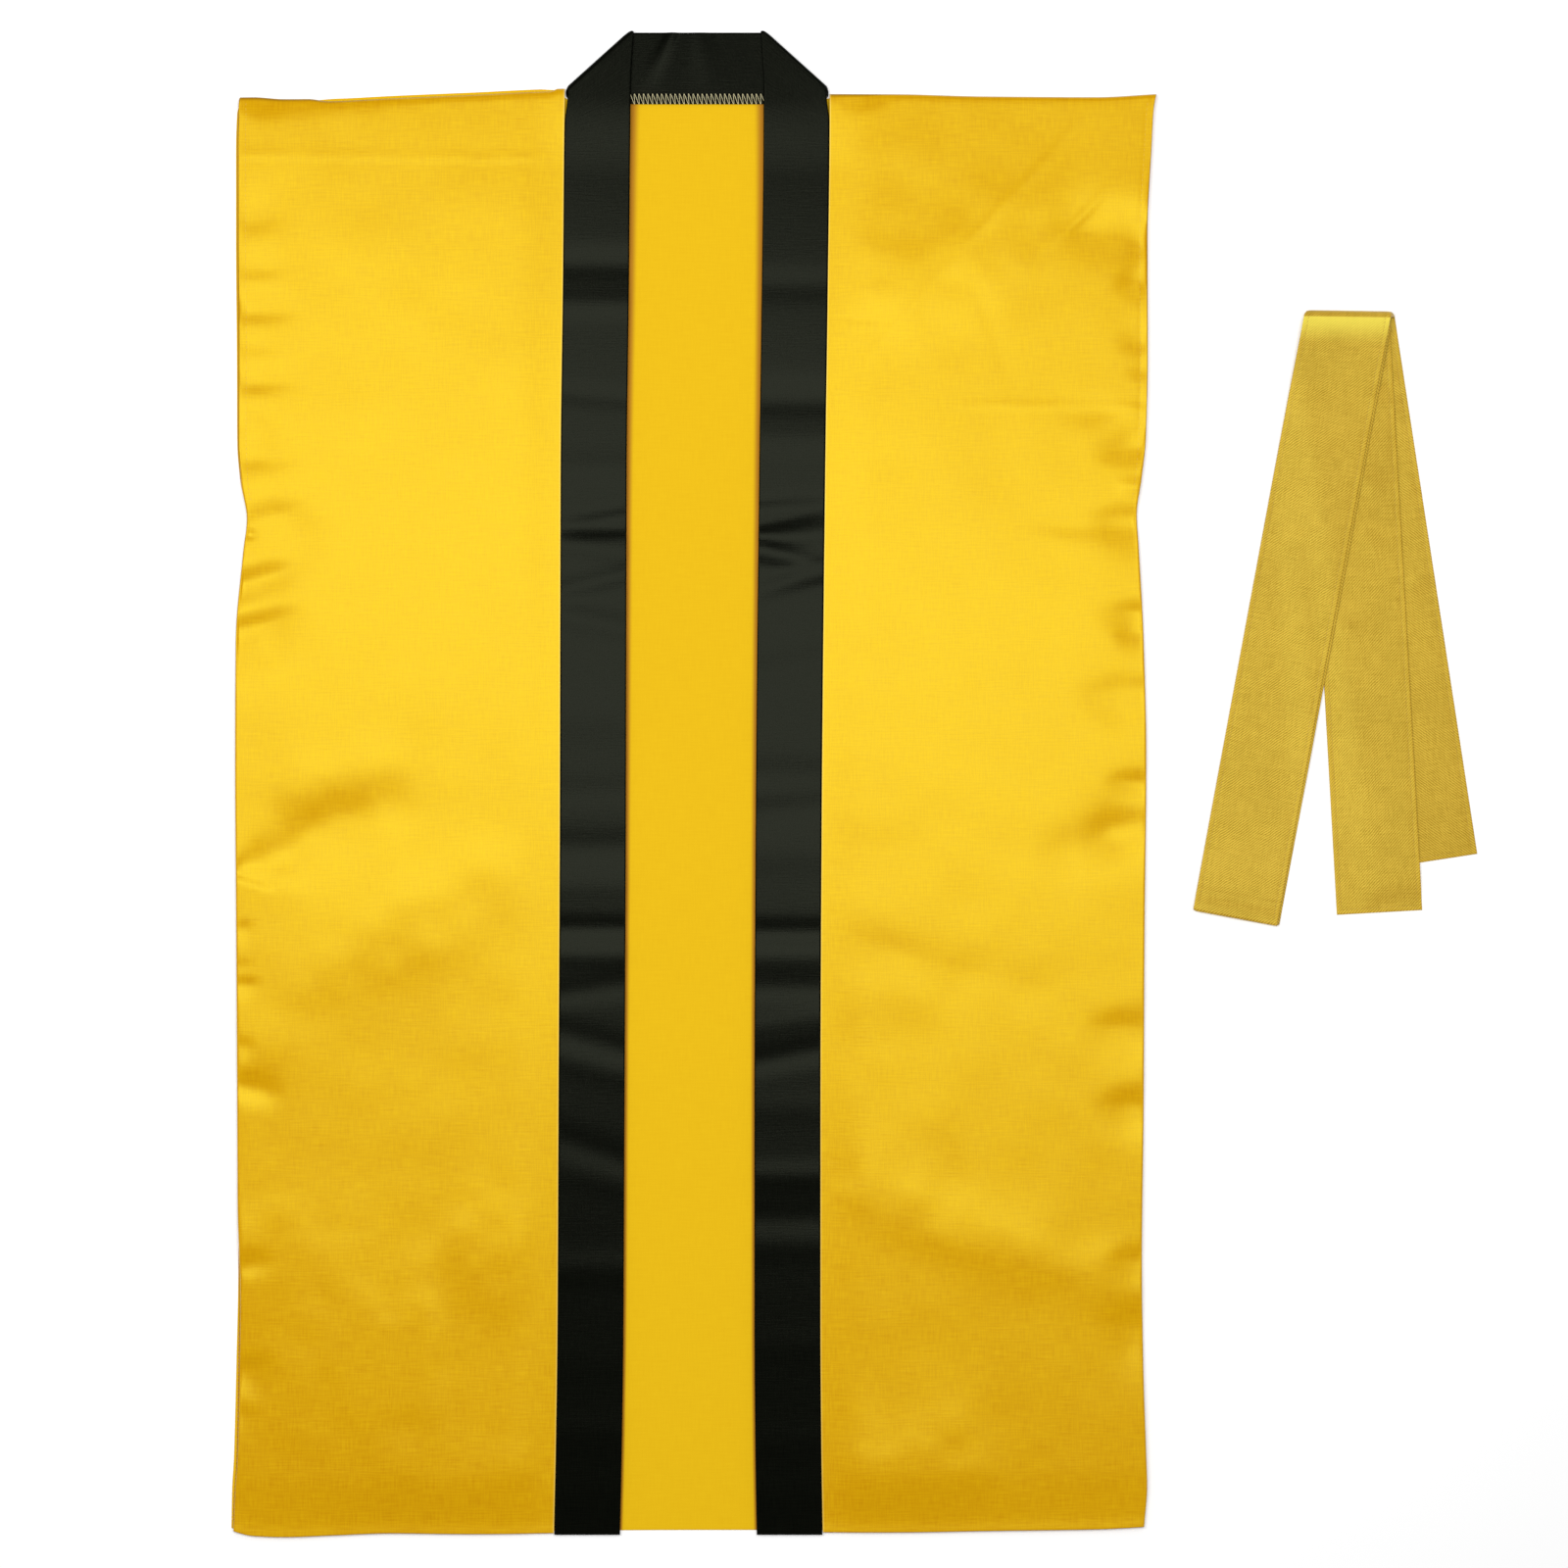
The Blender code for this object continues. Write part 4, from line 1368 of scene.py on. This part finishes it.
@dataclass(frozen=True)
class StitchRow:
    """Lockstitches along paths on the cloth, joined into one piece."""

    name: str
    thread: Thread
    pitch: float = 2.6
    length: float = 2.0
    radius: float = 0.16

    def build(self, paths: Sequence[Sequence[Vector]]) -> Piece:
        """Makes the stitches.

        Args:
            paths: lines of close points along the stitching, in millimetres.

        Returns:
            The piece.
        """
        bm = bmesh.new()
        for path in paths:
            for start, end in self.spans(path):
                self.add_stitch(bm, start, end)
        return dressed(self.name, bm, self.thread)

    def spans(self, path: Sequence[Vector]) -> Iterable[tuple[Vector, Vector]]:
        """Divides a path into stitches.

        Args:
            path: close points along the stitching.

        Yields:
            The start and end of each stitch.
        """
        walked, begin = 0.0, path[0]
        for before, after in zip(path, path[1:]):
            walked += (after - before).length
            if walked >= self.pitch:
                yield begin, begin.lerp(after, self.length / walked)
                walked, begin = 0.0, after

    def add_stitch(self, bm: bmesh.types.BMesh, start: Vector, end: Vector) -> None:
        """Adds one stitch, a slim bead of thread.

        Args:
            bm: the mesh to add it to.
            start: where it comes up.
            end: where it goes down.
        """
        run = end - start
        turn = run.to_track_quat("X", "Z").to_matrix().to_4x4()
        size = Matrix.Diagonal((self.length / 2.0, self.radius, self.radius, 1.0))
        place = Matrix.Translation((start + end) / 2.0)
        bmesh.ops.create_uvsphere(bm, u_segments=6, v_segments=4, radius=1.0,
                                  matrix=Matrix.Scale(MM, 4) @ place @ turn @ size)


@dataclass(frozen=True)
class SideSeamStitches:
    """The side seam's stitches that show low on the wearer's right, on the back's bared edge."""

    back: BackPanel
    first: float = 782.0
    last: float = 903.0
    outside: float = 0.9
    above: float = 0.1
    step: float = 0.6
    pitch: float = 2.3
    length: float = 1.3
    radius: float = 0.3

    def build(self) -> Piece:
        """Makes the stitches.

        Returns:
            The piece.
        """
        plan, path = self.back.plan, []
        for down in paces(self.first, self.last, self.step):
            x = -(plan.side_edge(Side.RIGHT, down) + self.outside)
            path.append(plan.spot(x, down, self.back.height(x, down) + SATIN.thickness / 2.0 + self.above))
        stitches = StitchRow("side_seam_stitches", ORANGE_THREAD, self.pitch, self.length, self.radius)
        return stitches.build([path])


def turn_over(first: Sequence[Vector], second: Sequence[Vector], outward: Vector, steps: int,
              blunt: tuple[float, float] = (1.6, 1.6)) -> list[list[Vector]]:
    """Rows round a fold, bulging past the fold line, blunt at its two corners.

    Args:
        first: the last row of one layer.
        second: the first row of the next layer.
        outward: direction of the bulge.
        steps: how many steps the fold takes.
        blunt: how far in from each corner the bulge is less.

    Returns:
        The rows between the two.
    """
    rows, ends = [], (first[0], first[-1])
    shares = [math.prod(roll((a - end).length, reach) for end, reach in zip(ends, blunt)) for a in first]
    for n in range(1, steps):
        turn = math.pi * n / steps
        share = (1.0 - math.cos(turn)) / 2.0
        row = []
        for a, b, full in zip(first, second, shares):
            bulge = outward * (abs(a.z - b.z) / 2.0 * math.sin(turn) * full)
            row.append(Vector((*(a.lerp(b, share) + bulge).xy, a.z + (b.z - a.z) * share)))
        rows.append(row)
    return rows


def strip_shell(name: str, cloth: Cloth, rows: Sequence[Sequence[Vector]], columns: Sequence[float],
                highlight_row: int | None = None) -> Shell:
    """A shell along a strip.

    Args:
        name: the piece's name.
        cloth: its thickness.
        rows: rows of points along the strip.
        columns: places across the strip.
        highlight_row: the row at which it comes over a puffed fold, if it has one.

    Returns:
        The shell, ready to build.
    """
    shell, middle, half = Shell(name, cloth), len(columns) // 2, columns[-1]
    steps = [(row[middle] - before[middle]).length for before, row in zip([rows[0], *rows], rows)]
    length, walked, past = sum(steps), 0.0, FAR_OFF
    for number, (row, step) in enumerate(zip(rows, steps)):
        walked += step
        # Distances past the row where the strip comes over the puffed fold go to the band attribute, by which
        # the belt's finish paints a highlight over the fold.
        past = 0.0 if number == highlight_row else past + step
        along = min(walked, length - walked)
        shell.add_row(
            Place(point, (v, walked), min(half - abs(v), along), past) for point, v in zip(row, columns)
        )
    return shell


@dataclass(frozen=True)
class CollarBand:
    """The doubled collar strip.

    It runs up the right front, folds behind itself at the first mitre, goes round the neck to the second one
    and down the left front.
    """

    plan: CoatPlan = PLAN
    row_spacing: float = 3.0
    column_spacing: float = 2.6
    rim: Steps = (0.1, 0.3, 0.6, 0.95, 1.6)
    mitre_rows: Steps = (0.8, 2.0)
    hem_rows: Steps = (0.1, 0.3, 0.6, 1.0)
    thickness: float = 2.0
    fold_steps: int = 12
    mitre_ease: float = 60.0
    mitre_top: float = -21.0
    mitre_slope: float = 0.9
    cut_allowance: float = 8.0
    mitre_blunt: tuple[float, float] = (3.0, 5.0)
    neck_folds: tuple[tuple[float, float, float], ...] = ((37.0, 4.0, 1.3), (63.0, 7.0, 0.6))

    def columns(self) -> list[float]:
        """Places across the band, finer at its edges."""
        width = self.plan.band_width
        return [v - width / 2.0 for v in stations(width, self.column_spacing, self.rim, self.rim)]

    def upright_row(self, side: Side, columns: Sequence[float], down: float) -> list[Vector]:
        """A row across an upright, square to it lower down and along the mitre at its top.

        Args:
            side: the upright's side.
            columns: places across the band.
            down: place down from the shoulder line.

        Returns:
            The row's points, in millimetres.
        """
        plan = self.plan
        skew = self.mitre_slope * smooth((self.mitre_ease - (down - self.mitre_top)) / self.mitre_ease)
        middle = plan.bands[side].at(down) * side.value
        row = []
        for v in columns:
            here = down - v * skew
            across = 2.0 * v / plan.band_width
            dented = sum(dent.rise(across, max(here, 0.0)) for dent in plan.dents[side])
            height = plan.band_underside(max(here, 0.0), dented) + self.thickness / 2.0
            row.append(plan.spot(middle - v * side.value, here, height))
        return row

    def neck_row(self, columns: Sequence[float], start: float, end: float, along: float) -> list[Vector]:
        """A row across the neck's stretch, from one mitre to the other.

        Args:
            columns: places across the band.
            start: x of the right mitre.
            end: x of the left mitre.
            along: how far from the start the row is.

        Returns:
            The row's points, in millimetres.
        """
        skew = 1.0 - 2.0 * along / (end - start)
        middle = self.plan.spot(start + along, self.plan.neck_middle, self.thickness / 2.0)
        lift = sum(height * bell(along - place, width) for place, width, height in self.neck_folds)
        half, lag = self.plan.band_width / 2.0, self.plan.neck_middle - self.mitre_top
        row = []
        for v in columns:
            reach = max((v - lag) / self.mitre_slope, -half)
            rise = lift * smooth(0.5 + v / self.plan.band_width)
            row.append(middle + Vector((reach * skew, v, rise)))
        return row

    def build(self) -> Piece:
        """Makes and dresses the collar.

        Returns:
            The piece.
        """
        plan, columns, drop = self.plan, self.columns(), self.plan.band_hem - self.mitre_top
        levels = stations(drop, self.row_spacing, self.mitre_rows, self.hem_rows)
        climb = [self.mitre_top + level for level in levels]
        right = [self.upright_row(Side.RIGHT, columns, down) for down in reversed(climb)]
        left = [self.upright_row(Side.LEFT, columns, down) for down in climb]
        start, end = -plan.bands[Side.RIGHT].at(climb[0]), plan.bands[Side.LEFT].at(climb[0])
        neck = [self.neck_row(columns, start, end, a) for a in stations(end - start, self.row_spacing)]
        slant = math.sqrt(0.5)
        right_out, left_out = Vector((-slant, slant, 0.0)), Vector((slant, slant, 0.0))
        right_fold = turn_over(right[-1], neck[0], right_out, self.fold_steps, self.mitre_blunt)
        left_fold = turn_over(neck[-1], left[0], left_out, self.fold_steps, self.mitre_blunt)
        rows = right + right_fold + neck + left_fold + left
        piece = strip_shell("collar_cloth", DOUBLED_SATIN, rows, columns).build(BLACK_SATIN)
        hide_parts("collar_band")
        return piece

    def cut(self) -> tuple[float, float]:
        """The flat size of what shows of the cut: one of its two faces, with one allowance.

        Returns:
            Its width and length, in metres.
        """
        uprights = 2.0 * (self.plan.band_hem - self.plan.neck_middle)
        neck = sum(self.plan.bands[side].at(self.plan.neck_middle) for side in Side)
        length = uprights + neck + 2.0 * self.cut_allowance
        return (self.plan.band_width + self.cut_allowance) * MM, length * MM


@dataclass(frozen=True)
class NeckAllowance:
    """The serged seam allowance of the back neck, turned down over the back's inside."""

    plan: CoatPlan = PLAN
    width: float = 6.2
    reach: float = 62.0
    raised: float = 0.45
    row_spacing: float = 1.0
    column_spacing: float = 2.5
    rim: Steps = (0.15, 0.45)
    loop_pitch: float = 2.85
    loop_slant: float = 0.23
    loop_overhang: float = 0.1
    loop_start: float = 2.0
    loop_lift: float = 0.6
    loop_puff: float = 0.3
    thread_radius: float = 0.15
    points_per_loop: int = 16

    def build(self) -> Piece:
        """Makes and dresses the allowance.

        Returns:
            The piece.
        """
        shell, length = Shell("neck_allowance_cloth", SERGED_SATIN), 2.0 * self.reach
        for step in stations(self.width, self.row_spacing, self.rim, self.rim):
            down = self.plan.allowance_top + step
            height = self.plan.allowance_underside(down) + self.raised
            inset = min(step, self.width - step)
            shell.add_row(
                Place(self.plan.spot(out - self.reach, down, height), (out, down),
                      min(inset, out, length - out))
                for out in stations(length, self.column_spacing, self.rim, self.rim)
            )
        piece = shell.build(BLACK_SATIN)
        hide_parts("neck_seam_allowance")
        return piece

    def loop_point(self, n: int) -> Vector:
        """A point of the overlock thread.

        Args:
            n: the point's number along the thread.

        Returns:
            The point, in millimetres.
        """
        turn, top = math.tau * n / self.points_per_loop, self.plan.allowance_top
        down = top + self.width / 2.0 - (self.width / 2.0 + self.loop_overhang) * math.cos(turn)
        x = -self.reach + self.loop_start + self.loop_pitch * n / self.points_per_loop
        x += self.loop_slant * (down - top)
        over = self.loop_lift + self.loop_puff * (1.0 + math.sin(turn)) / 2.0
        return self.plan.spot(x, down, self.plan.allowance_underside(down) + self.raised + over)

    def overlock(self) -> Piece:
        """Makes the overlock's cream loops, leaning along the raw edge.

        Returns:
            The piece, one thread looping along the allowance.
        """
        total = (int(2.0 * self.reach / self.loop_pitch) - 1) * self.points_per_loop
        curve = bpy.data.curves.new("overlock_loops", "CURVE")
        curve.dimensions = "3D"
        curve.bevel_depth = self.thread_radius * MM
        curve.bevel_resolution = 1
        spline = curve.splines.new("POLY")
        spline.points.add(total - 1)
        for n in range(total):
            spline.points[n].co = (*(self.loop_point(n) * MM), 1.0)
        holder = placed("overlock_loops", curve)
        bm = bmesh.new()
        bm.from_mesh(bpy.data.meshes.new_from_object(holder))
        bpy.data.objects.remove(holder, do_unlink=True)
        return dressed("overlock_stitches", bm, CREAM_THREAD)


@dataclass(frozen=True)
class Leg:
    """A leg of the belt: its lean from straight down, its length, and where it starts at the top fold."""

    lean: float
    length: float = 0.0
    x: float = 0.0
    y: float = 0.0
    fold_x: float = 313.2
    fold_y: float = 297.0

    @cached_property
    def axes(self) -> tuple[Vector, Vector, Vector]:
        """How the leg lies.

        Returns:
            Its start, its direction down the floor and its direction across.
        """
        angle = math.radians(self.lean)
        along = Vector((math.sin(angle), -math.cos(angle), 0.0))
        across = Vector((math.cos(angle), math.sin(angle), 0.0))
        return Vector((self.fold_x + self.x, self.fold_y + self.y, 0.0)), along, across

    def up(self) -> Vector:
        """The direction up the leg, away from its free end."""
        return -self.axes[1]


@dataclass(frozen=True)
class Belt:
    """The belt, one hemmed strip folded in half and then over at the top, its legs fanned out.

    The right leg lies on the floor, the middle one over it, and the left one in two layers over both.
    """

    right: Leg = Leg(8.75, 347.5, 1.4, -2.5)
    middle: Leg = Leg(3.2, 372.0, -1.6, -7.5)
    left: Leg = Leg(-10.5, 384.5, -2.2, -3.0)
    left_under: Leg = Leg(-10.5, 379.9, -1.4, -7.5)
    width: float = 54.0
    length: float = 1500.0
    top_puff: float = 3.4
    inner_puff: float = 1.2
    end_puff: float = 1.2
    puff_reach: float = 55.0
    ledge_start: float = 9.0
    ledge_end: float = 27.0
    ease: float = 60.0
    layer: float = 1.55
    body: float = 0.5
    fold_lift: float = 0.35
    fold_lift_reach: float = 20.0
    fold_steps: int = 12
    row_spacing: float = 3.0
    column_spacing: float = 3.0
    rim: Steps = (0.12, 0.36, 1.0, 2.4, 3.1, 3.8)
    fold_rows: Steps = (1.5, 3.5)
    end_rows: Steps = (0.12, 0.36, 1.5)
    stitch_inset: float = 3.1
    stitch_sink: float = 0.08
    stitch_reach: float = 0.6
    stitch_lift: float = 0.12
    stitch_pitch: float = 2.4
    stitch_length: float = 1.8
    end_points: int = 96
    points_per_mm: float = 2.0
    brow: float = 0.6
    brow_reach: float = 13.0
    end_groove: float = 0.9
    end_groove_run: float = 10.0
    end_groove_reach: float = 3.5
    ripple: float = 0.4
    ripple_pitch: float = 26.0
    lower_waves: float = 0.6
    top_waves: float = 0.5
    top_layer: float = 4.0
    swells: tuple[tuple[float, float, float, float], ...] = (
        (340, 260, 6, 1.0), (331, 240, 7, 1.2), (341, 240, 5, 0.9), (327, 189, 7, 1.2), (350, 186, 6, 0.9),
        (327, 151, 7, 0.8), (355, 126, 6, 0.8), (312, 96, 7, 0.8), (320, 20, 9, 0.5), (352, 60, 9, 0.5),
    )

    def columns(self) -> list[float]:
        """Places across the strip, finer at its edges."""
        return [v - self.width / 2.0 for v in stations(self.width, self.column_spacing, self.rim, self.rim)]

    def under(self, leg: Leg, point: Vector) -> float:
        """How far a point is held up by a leg under it.

        Args:
            leg: the leg that may lie under it.
            point: the point, in millimetres.

        Returns:
            1 over the leg, falling softly to 0 beside it.
        """
        start, along, across = leg.axes
        offset = point - start
        outside = max(abs(offset.dot(across)) - self.width / 2.0, offset.dot(along) - leg.length, 0.0)
        return 1.0 - smooth((outside - self.ledge_start) / (self.ledge_end - self.ledge_start))

    def wavy(self, point: Vector, layer: float = 0.0) -> float:
        """The small unevenness of a loose layer, in millimetres."""
        place = Vector((point.x / self.ripple_pitch, point.y / self.ripple_pitch, layer))
        return self.ripple * (0.5 + 0.5 * noise.noise(place))

    def uneven(self, point: Vector) -> float:
        """The unevenness of a lower layer with its puffed places.

        Args:
            point: the place, in millimetres.

        Returns:
            The height that it adds, in millimetres.
        """
        swell = sum(
            height * bell((point.xy - Vector((x, y))).length, reach) for x, y, reach, height in self.swells
        )
        return self.lower_waves * (self.wavy(point) + swell)

    def right_height(self, point: Vector, run: float) -> float:
        """The right leg lies on the floor, a little clear of it at the top fold."""
        return self.fold_lift * smooth(1.0 - run / self.fold_lift_reach) + self.uneven(point)

    def middle_height(self, point: Vector, run: float) -> float:
        """The middle leg lies over the right one and comes down to the floor beside it."""
        return self.layer * self.under(self.right, point) + self.uneven(point)

    def left_under_height(self, point: Vector, run: float) -> float:
        """The left leg's under layer lies over both other legs and puffs up at the inner fold.

        Args:
            point: the place, in millimetres.
            run: how far along the leg it is.

        Returns:
            The height of its underside, in millimetres.
        """
        puff = self.inner_puff * smooth(1.0 - run / self.puff_reach)
        lift = self.fold_lift * smooth(1.0 - (self.left.length - run) / self.fold_lift_reach)
        return self.middle_height(point, run) + self.layer * self.under(self.middle, point) + puff + lift

    def left_height(self, point: Vector, run: float) -> float:
        """The left leg's top layer lies on its under layer, with more air near its folds.

        Args:
            point: the place, in millimetres.
            run: how far along the leg it is.

        Returns:
            The height of its underside, in millimetres.
        """
        to_end = self.left.length - run
        at_top = (self.top_puff - self.inner_puff) * smooth(1.0 - run / self.puff_reach)
        at_top -= self.brow * smooth(1.0 - run / self.brow_reach)
        at_end = self.end_puff * smooth(1.0 - to_end / self.puff_reach)
        at_end -= self.end_groove * bell(to_end - self.end_groove_run, self.end_groove_reach)
        waves = self.top_waves * self.wavy(point, self.top_layer)
        return self.left_under_height(point, run) + self.layer + at_top + at_end + waves

    def leg_point(self, leg: Leg, fold_lean: float, height: Height, v: float, run: float) -> Vector:
        """A point of a leg.

        Args:
            leg: the leg.
            fold_lean: lean of the fold that it starts from.
            height: its height function.
            v: place across it.
            run: place along it.

        Returns:
            The point, in millimetres.
        """
        start, along, across = leg.axes
        eased = math.tan(math.radians(fold_lean - leg.lean)) * smooth(1.0 - run / self.ease)
        point = start + along * (run - v * eased) + across * v
        sink = self.stitch_sink * bell(self.width / 2.0 - abs(v) - self.stitch_inset, self.stitch_reach)
        point.z = height(point.copy(), run) + self.body - sink
        return point

    def leg_rows(self, leg: Leg, fold_lean: float, height: Height) -> list[list[Vector]]:
        """Rows down a leg from the top fold, turning from the fold's line to square across the leg.

        Args:
            leg: the leg.
            fold_lean: lean of the fold that it starts from.
            height: its height function.

        Returns:
            The rows of points.
        """
        runs, columns = stations(leg.length, self.row_spacing, self.fold_rows, self.end_rows), self.columns()
        return [[self.leg_point(leg, fold_lean, height, v, run) for v in columns] for run in runs]

    def leans(self) -> tuple[float, float]:
        """Leans of the outer and inner fold at the top."""
        return (self.right.lean + self.left.lean) / 2.0, (self.middle.lean + self.left.lean) / 2.0

    def build(self) -> Piece:
        """Makes and dresses the belt.

        Returns:
            The piece.
        """
        outer, inner = self.leans()
        right = self.leg_rows(self.right, outer, self.right_height)
        top = self.leg_rows(self.left, outer, self.left_height)
        under = self.leg_rows(self.left_under, inner, self.left_under_height)
        middle = self.leg_rows(self.middle, inner, self.middle_height)
        rows = right[::-1] + turn_over(right[0], top[0], Leg(outer).up(), self.fold_steps)
        # The first row of the top layer, from where the belt's finish paints its highlight over the fold.
        over_top = len(rows)
        rows += top
        rows += turn_over(top[-1], under[-1], -self.left.up(), self.fold_steps) + under[::-1]
        rows += turn_over(under[0], middle[0], Leg(inner).up(), self.fold_steps) + middle
        piece = strip_shell("belt_cloth", BELT_SATIN, rows, self.columns(), over_top).build(BELT_TWILL)
        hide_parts("belt")
        return piece

    def stitches(self) -> Piece:
        """Makes the topstitching along both edges and across both free ends, where it shows.

        Returns:
            The piece.
        """
        outer, inner = self.leans()
        over = Vector((0.0, 0.0, BELT_SATIN.thickness / 2.0 + self.stitch_lift))
        out = self.width / 2.0 - self.stitch_inset
        paths = []
        for leg, lean, height, free in (
            (self.right, outer, self.right_height, True),
            (self.middle, inner, self.middle_height, True),
            (self.left, outer, self.left_height, False),
        ):
            end = leg.length - (self.stitch_inset if free else 0.0)
            steps = int(end * self.points_per_mm)
            lines = [[(v, end * n / steps) for n in range(steps)] for v in (-out, out)]
            if free:
                lines.append([(v, end) for v in spread(-out, out, range(self.end_points))])
            paths += [[self.leg_point(leg, lean, height, v, run) + over for v, run in line] for line in lines]
        return StitchRow("belt_stitches", GOLD_THREAD, self.stitch_pitch, self.stitch_length).build(paths)


class SoftBox(NamedTuple):
    """A soft box overhead: its place, its size, its radiance and its turn in degrees."""

    x: float
    y: float
    width: float
    length: float
    radiance: float
    turn: float = 0.0


@dataclass(frozen=True)
class Studio:
    """A pale floor, soft light and the camera straight above."""

    view_x: float = -44.3
    view_y: float = -0.7
    view_width: float = 992.0
    view_end: float = 20.0
    camera_height: float = 2.8
    sensor: float = 36.0
    world: Colour = (1.0, 1.0, 1.0, 1.0)
    world_strength: float = 0.3
    floor: Colour = (0.98, 0.98, 0.98, 1.0)
    floor_roughness: float = 0.9
    floor_size: float = 8.0
    floor_glow: float = 0.1
    floor_gap: float = 0.15
    box_height: float = 2.2
    boxes: tuple[SoftBox, ...] = (
        SoftBox(-0.35, 0.24, 2.2, 0.84, 7.3, -11.0),
        SoftBox(0.61, 1.33, 0.42, 0.4, 11.0),
    )

    def build(self) -> None:
        """Sets up the floor, the light and the camera."""
        self.lay_floor()
        for box in self.boxes:
            self.hang(box)
        self.place_camera()
        world = bpy.data.worlds.new("studio")
        world.use_nodes = True
        background = world.node_tree.nodes["Background"]
        background.inputs["Color"].default_value = self.world
        background.inputs["Strength"].default_value = self.world_strength
        bpy.context.scene.world = world
        bpy.context.scene.view_settings.view_transform = "Standard"

    def lay_floor(self) -> None:
        """Lays the floor just under the coat."""
        bm = bmesh.new()
        bmesh.ops.create_grid(bm, x_segments=1, y_segments=1, size=self.floor_size / 2.0,
                              matrix=Matrix.Translation((0.0, 0.0, -self.floor_gap * MM)))
        material, bench, shader = blank_material("pale_floor")
        bench.feed(shader, {
            "Base Color": self.floor,
            "Roughness": self.floor_roughness,
            "Specular IOR Level": 0.0,
            "Emission Color": self.world,
            "Emission Strength": self.floor_glow,
        })
        floor = solid("floor", bm, material)

    def hang(self, box: SoftBox) -> None:
        """Hangs a soft box level over the coat.

        Args:
            box: the soft box.
        """
        light = bpy.data.lights.new("soft_box", "AREA")
        light.shape = "RECTANGLE"
        light.size, light.size_y = box.width, box.length
        light.energy = box.radiance * math.pi * box.width * box.length
        lamp = placed("soft_box", light)
        lamp.location = (box.x, box.y, self.box_height)
        lamp.rotation_euler = (0.0, 0.0, math.radians(box.turn))

    def place_camera(self) -> None:
        """Places the camera straight above the middle of the view."""
        data = bpy.data.cameras.new("camera")
        data.sensor_width = self.sensor
        data.lens = self.sensor * self.camera_height / (self.view_width * MM)
        data.clip_end = self.view_end
        camera = placed("camera", data)
        camera.location = (self.view_x * MM, self.view_y * MM, self.camera_height)
        bpy.context.scene.camera = camera


def report(piece: Piece) -> Piece:
    """Logs a finished piece and hands it on."""
    LOG.info("%s: %d faces", piece.name, len(piece.data.polygons))
    return piece


def main() -> None:
    """Builds the coat, the belt and the studio, in order."""
    logging.basicConfig(level=logging.INFO, format="%(message)s")
    noise.seed_set(SEED)
    back = BackPanel()
    back_cloth = report(back.build())
    seam_stitches = report(SideSeamStitches(back).build())
    for side, creases in ((Side.RIGHT, RIGHT_CREASES), (Side.LEFT, LEFT_CREASES)):
        front = FrontPanel(side, creases)
        cloth = report(front.build())
        stitches = [report(front.armhole_stitches())]
        if side is Side.RIGHT:
            stitches.append(seam_stitches)
        front.cut()
    collar = CollarBand()
    collar_cloth = report(collar.build())
    collar.cut()
    allowance = NeckAllowance()
    neck_pieces = [report(allowance.build()), report(allowance.overlock())]
    back.cut()
    belt = Belt()
    belt_cloth = report(belt.build())
    belt_stitches = report(belt.stitches())
    Studio().build()


if __name__ == "__main__":
    main()
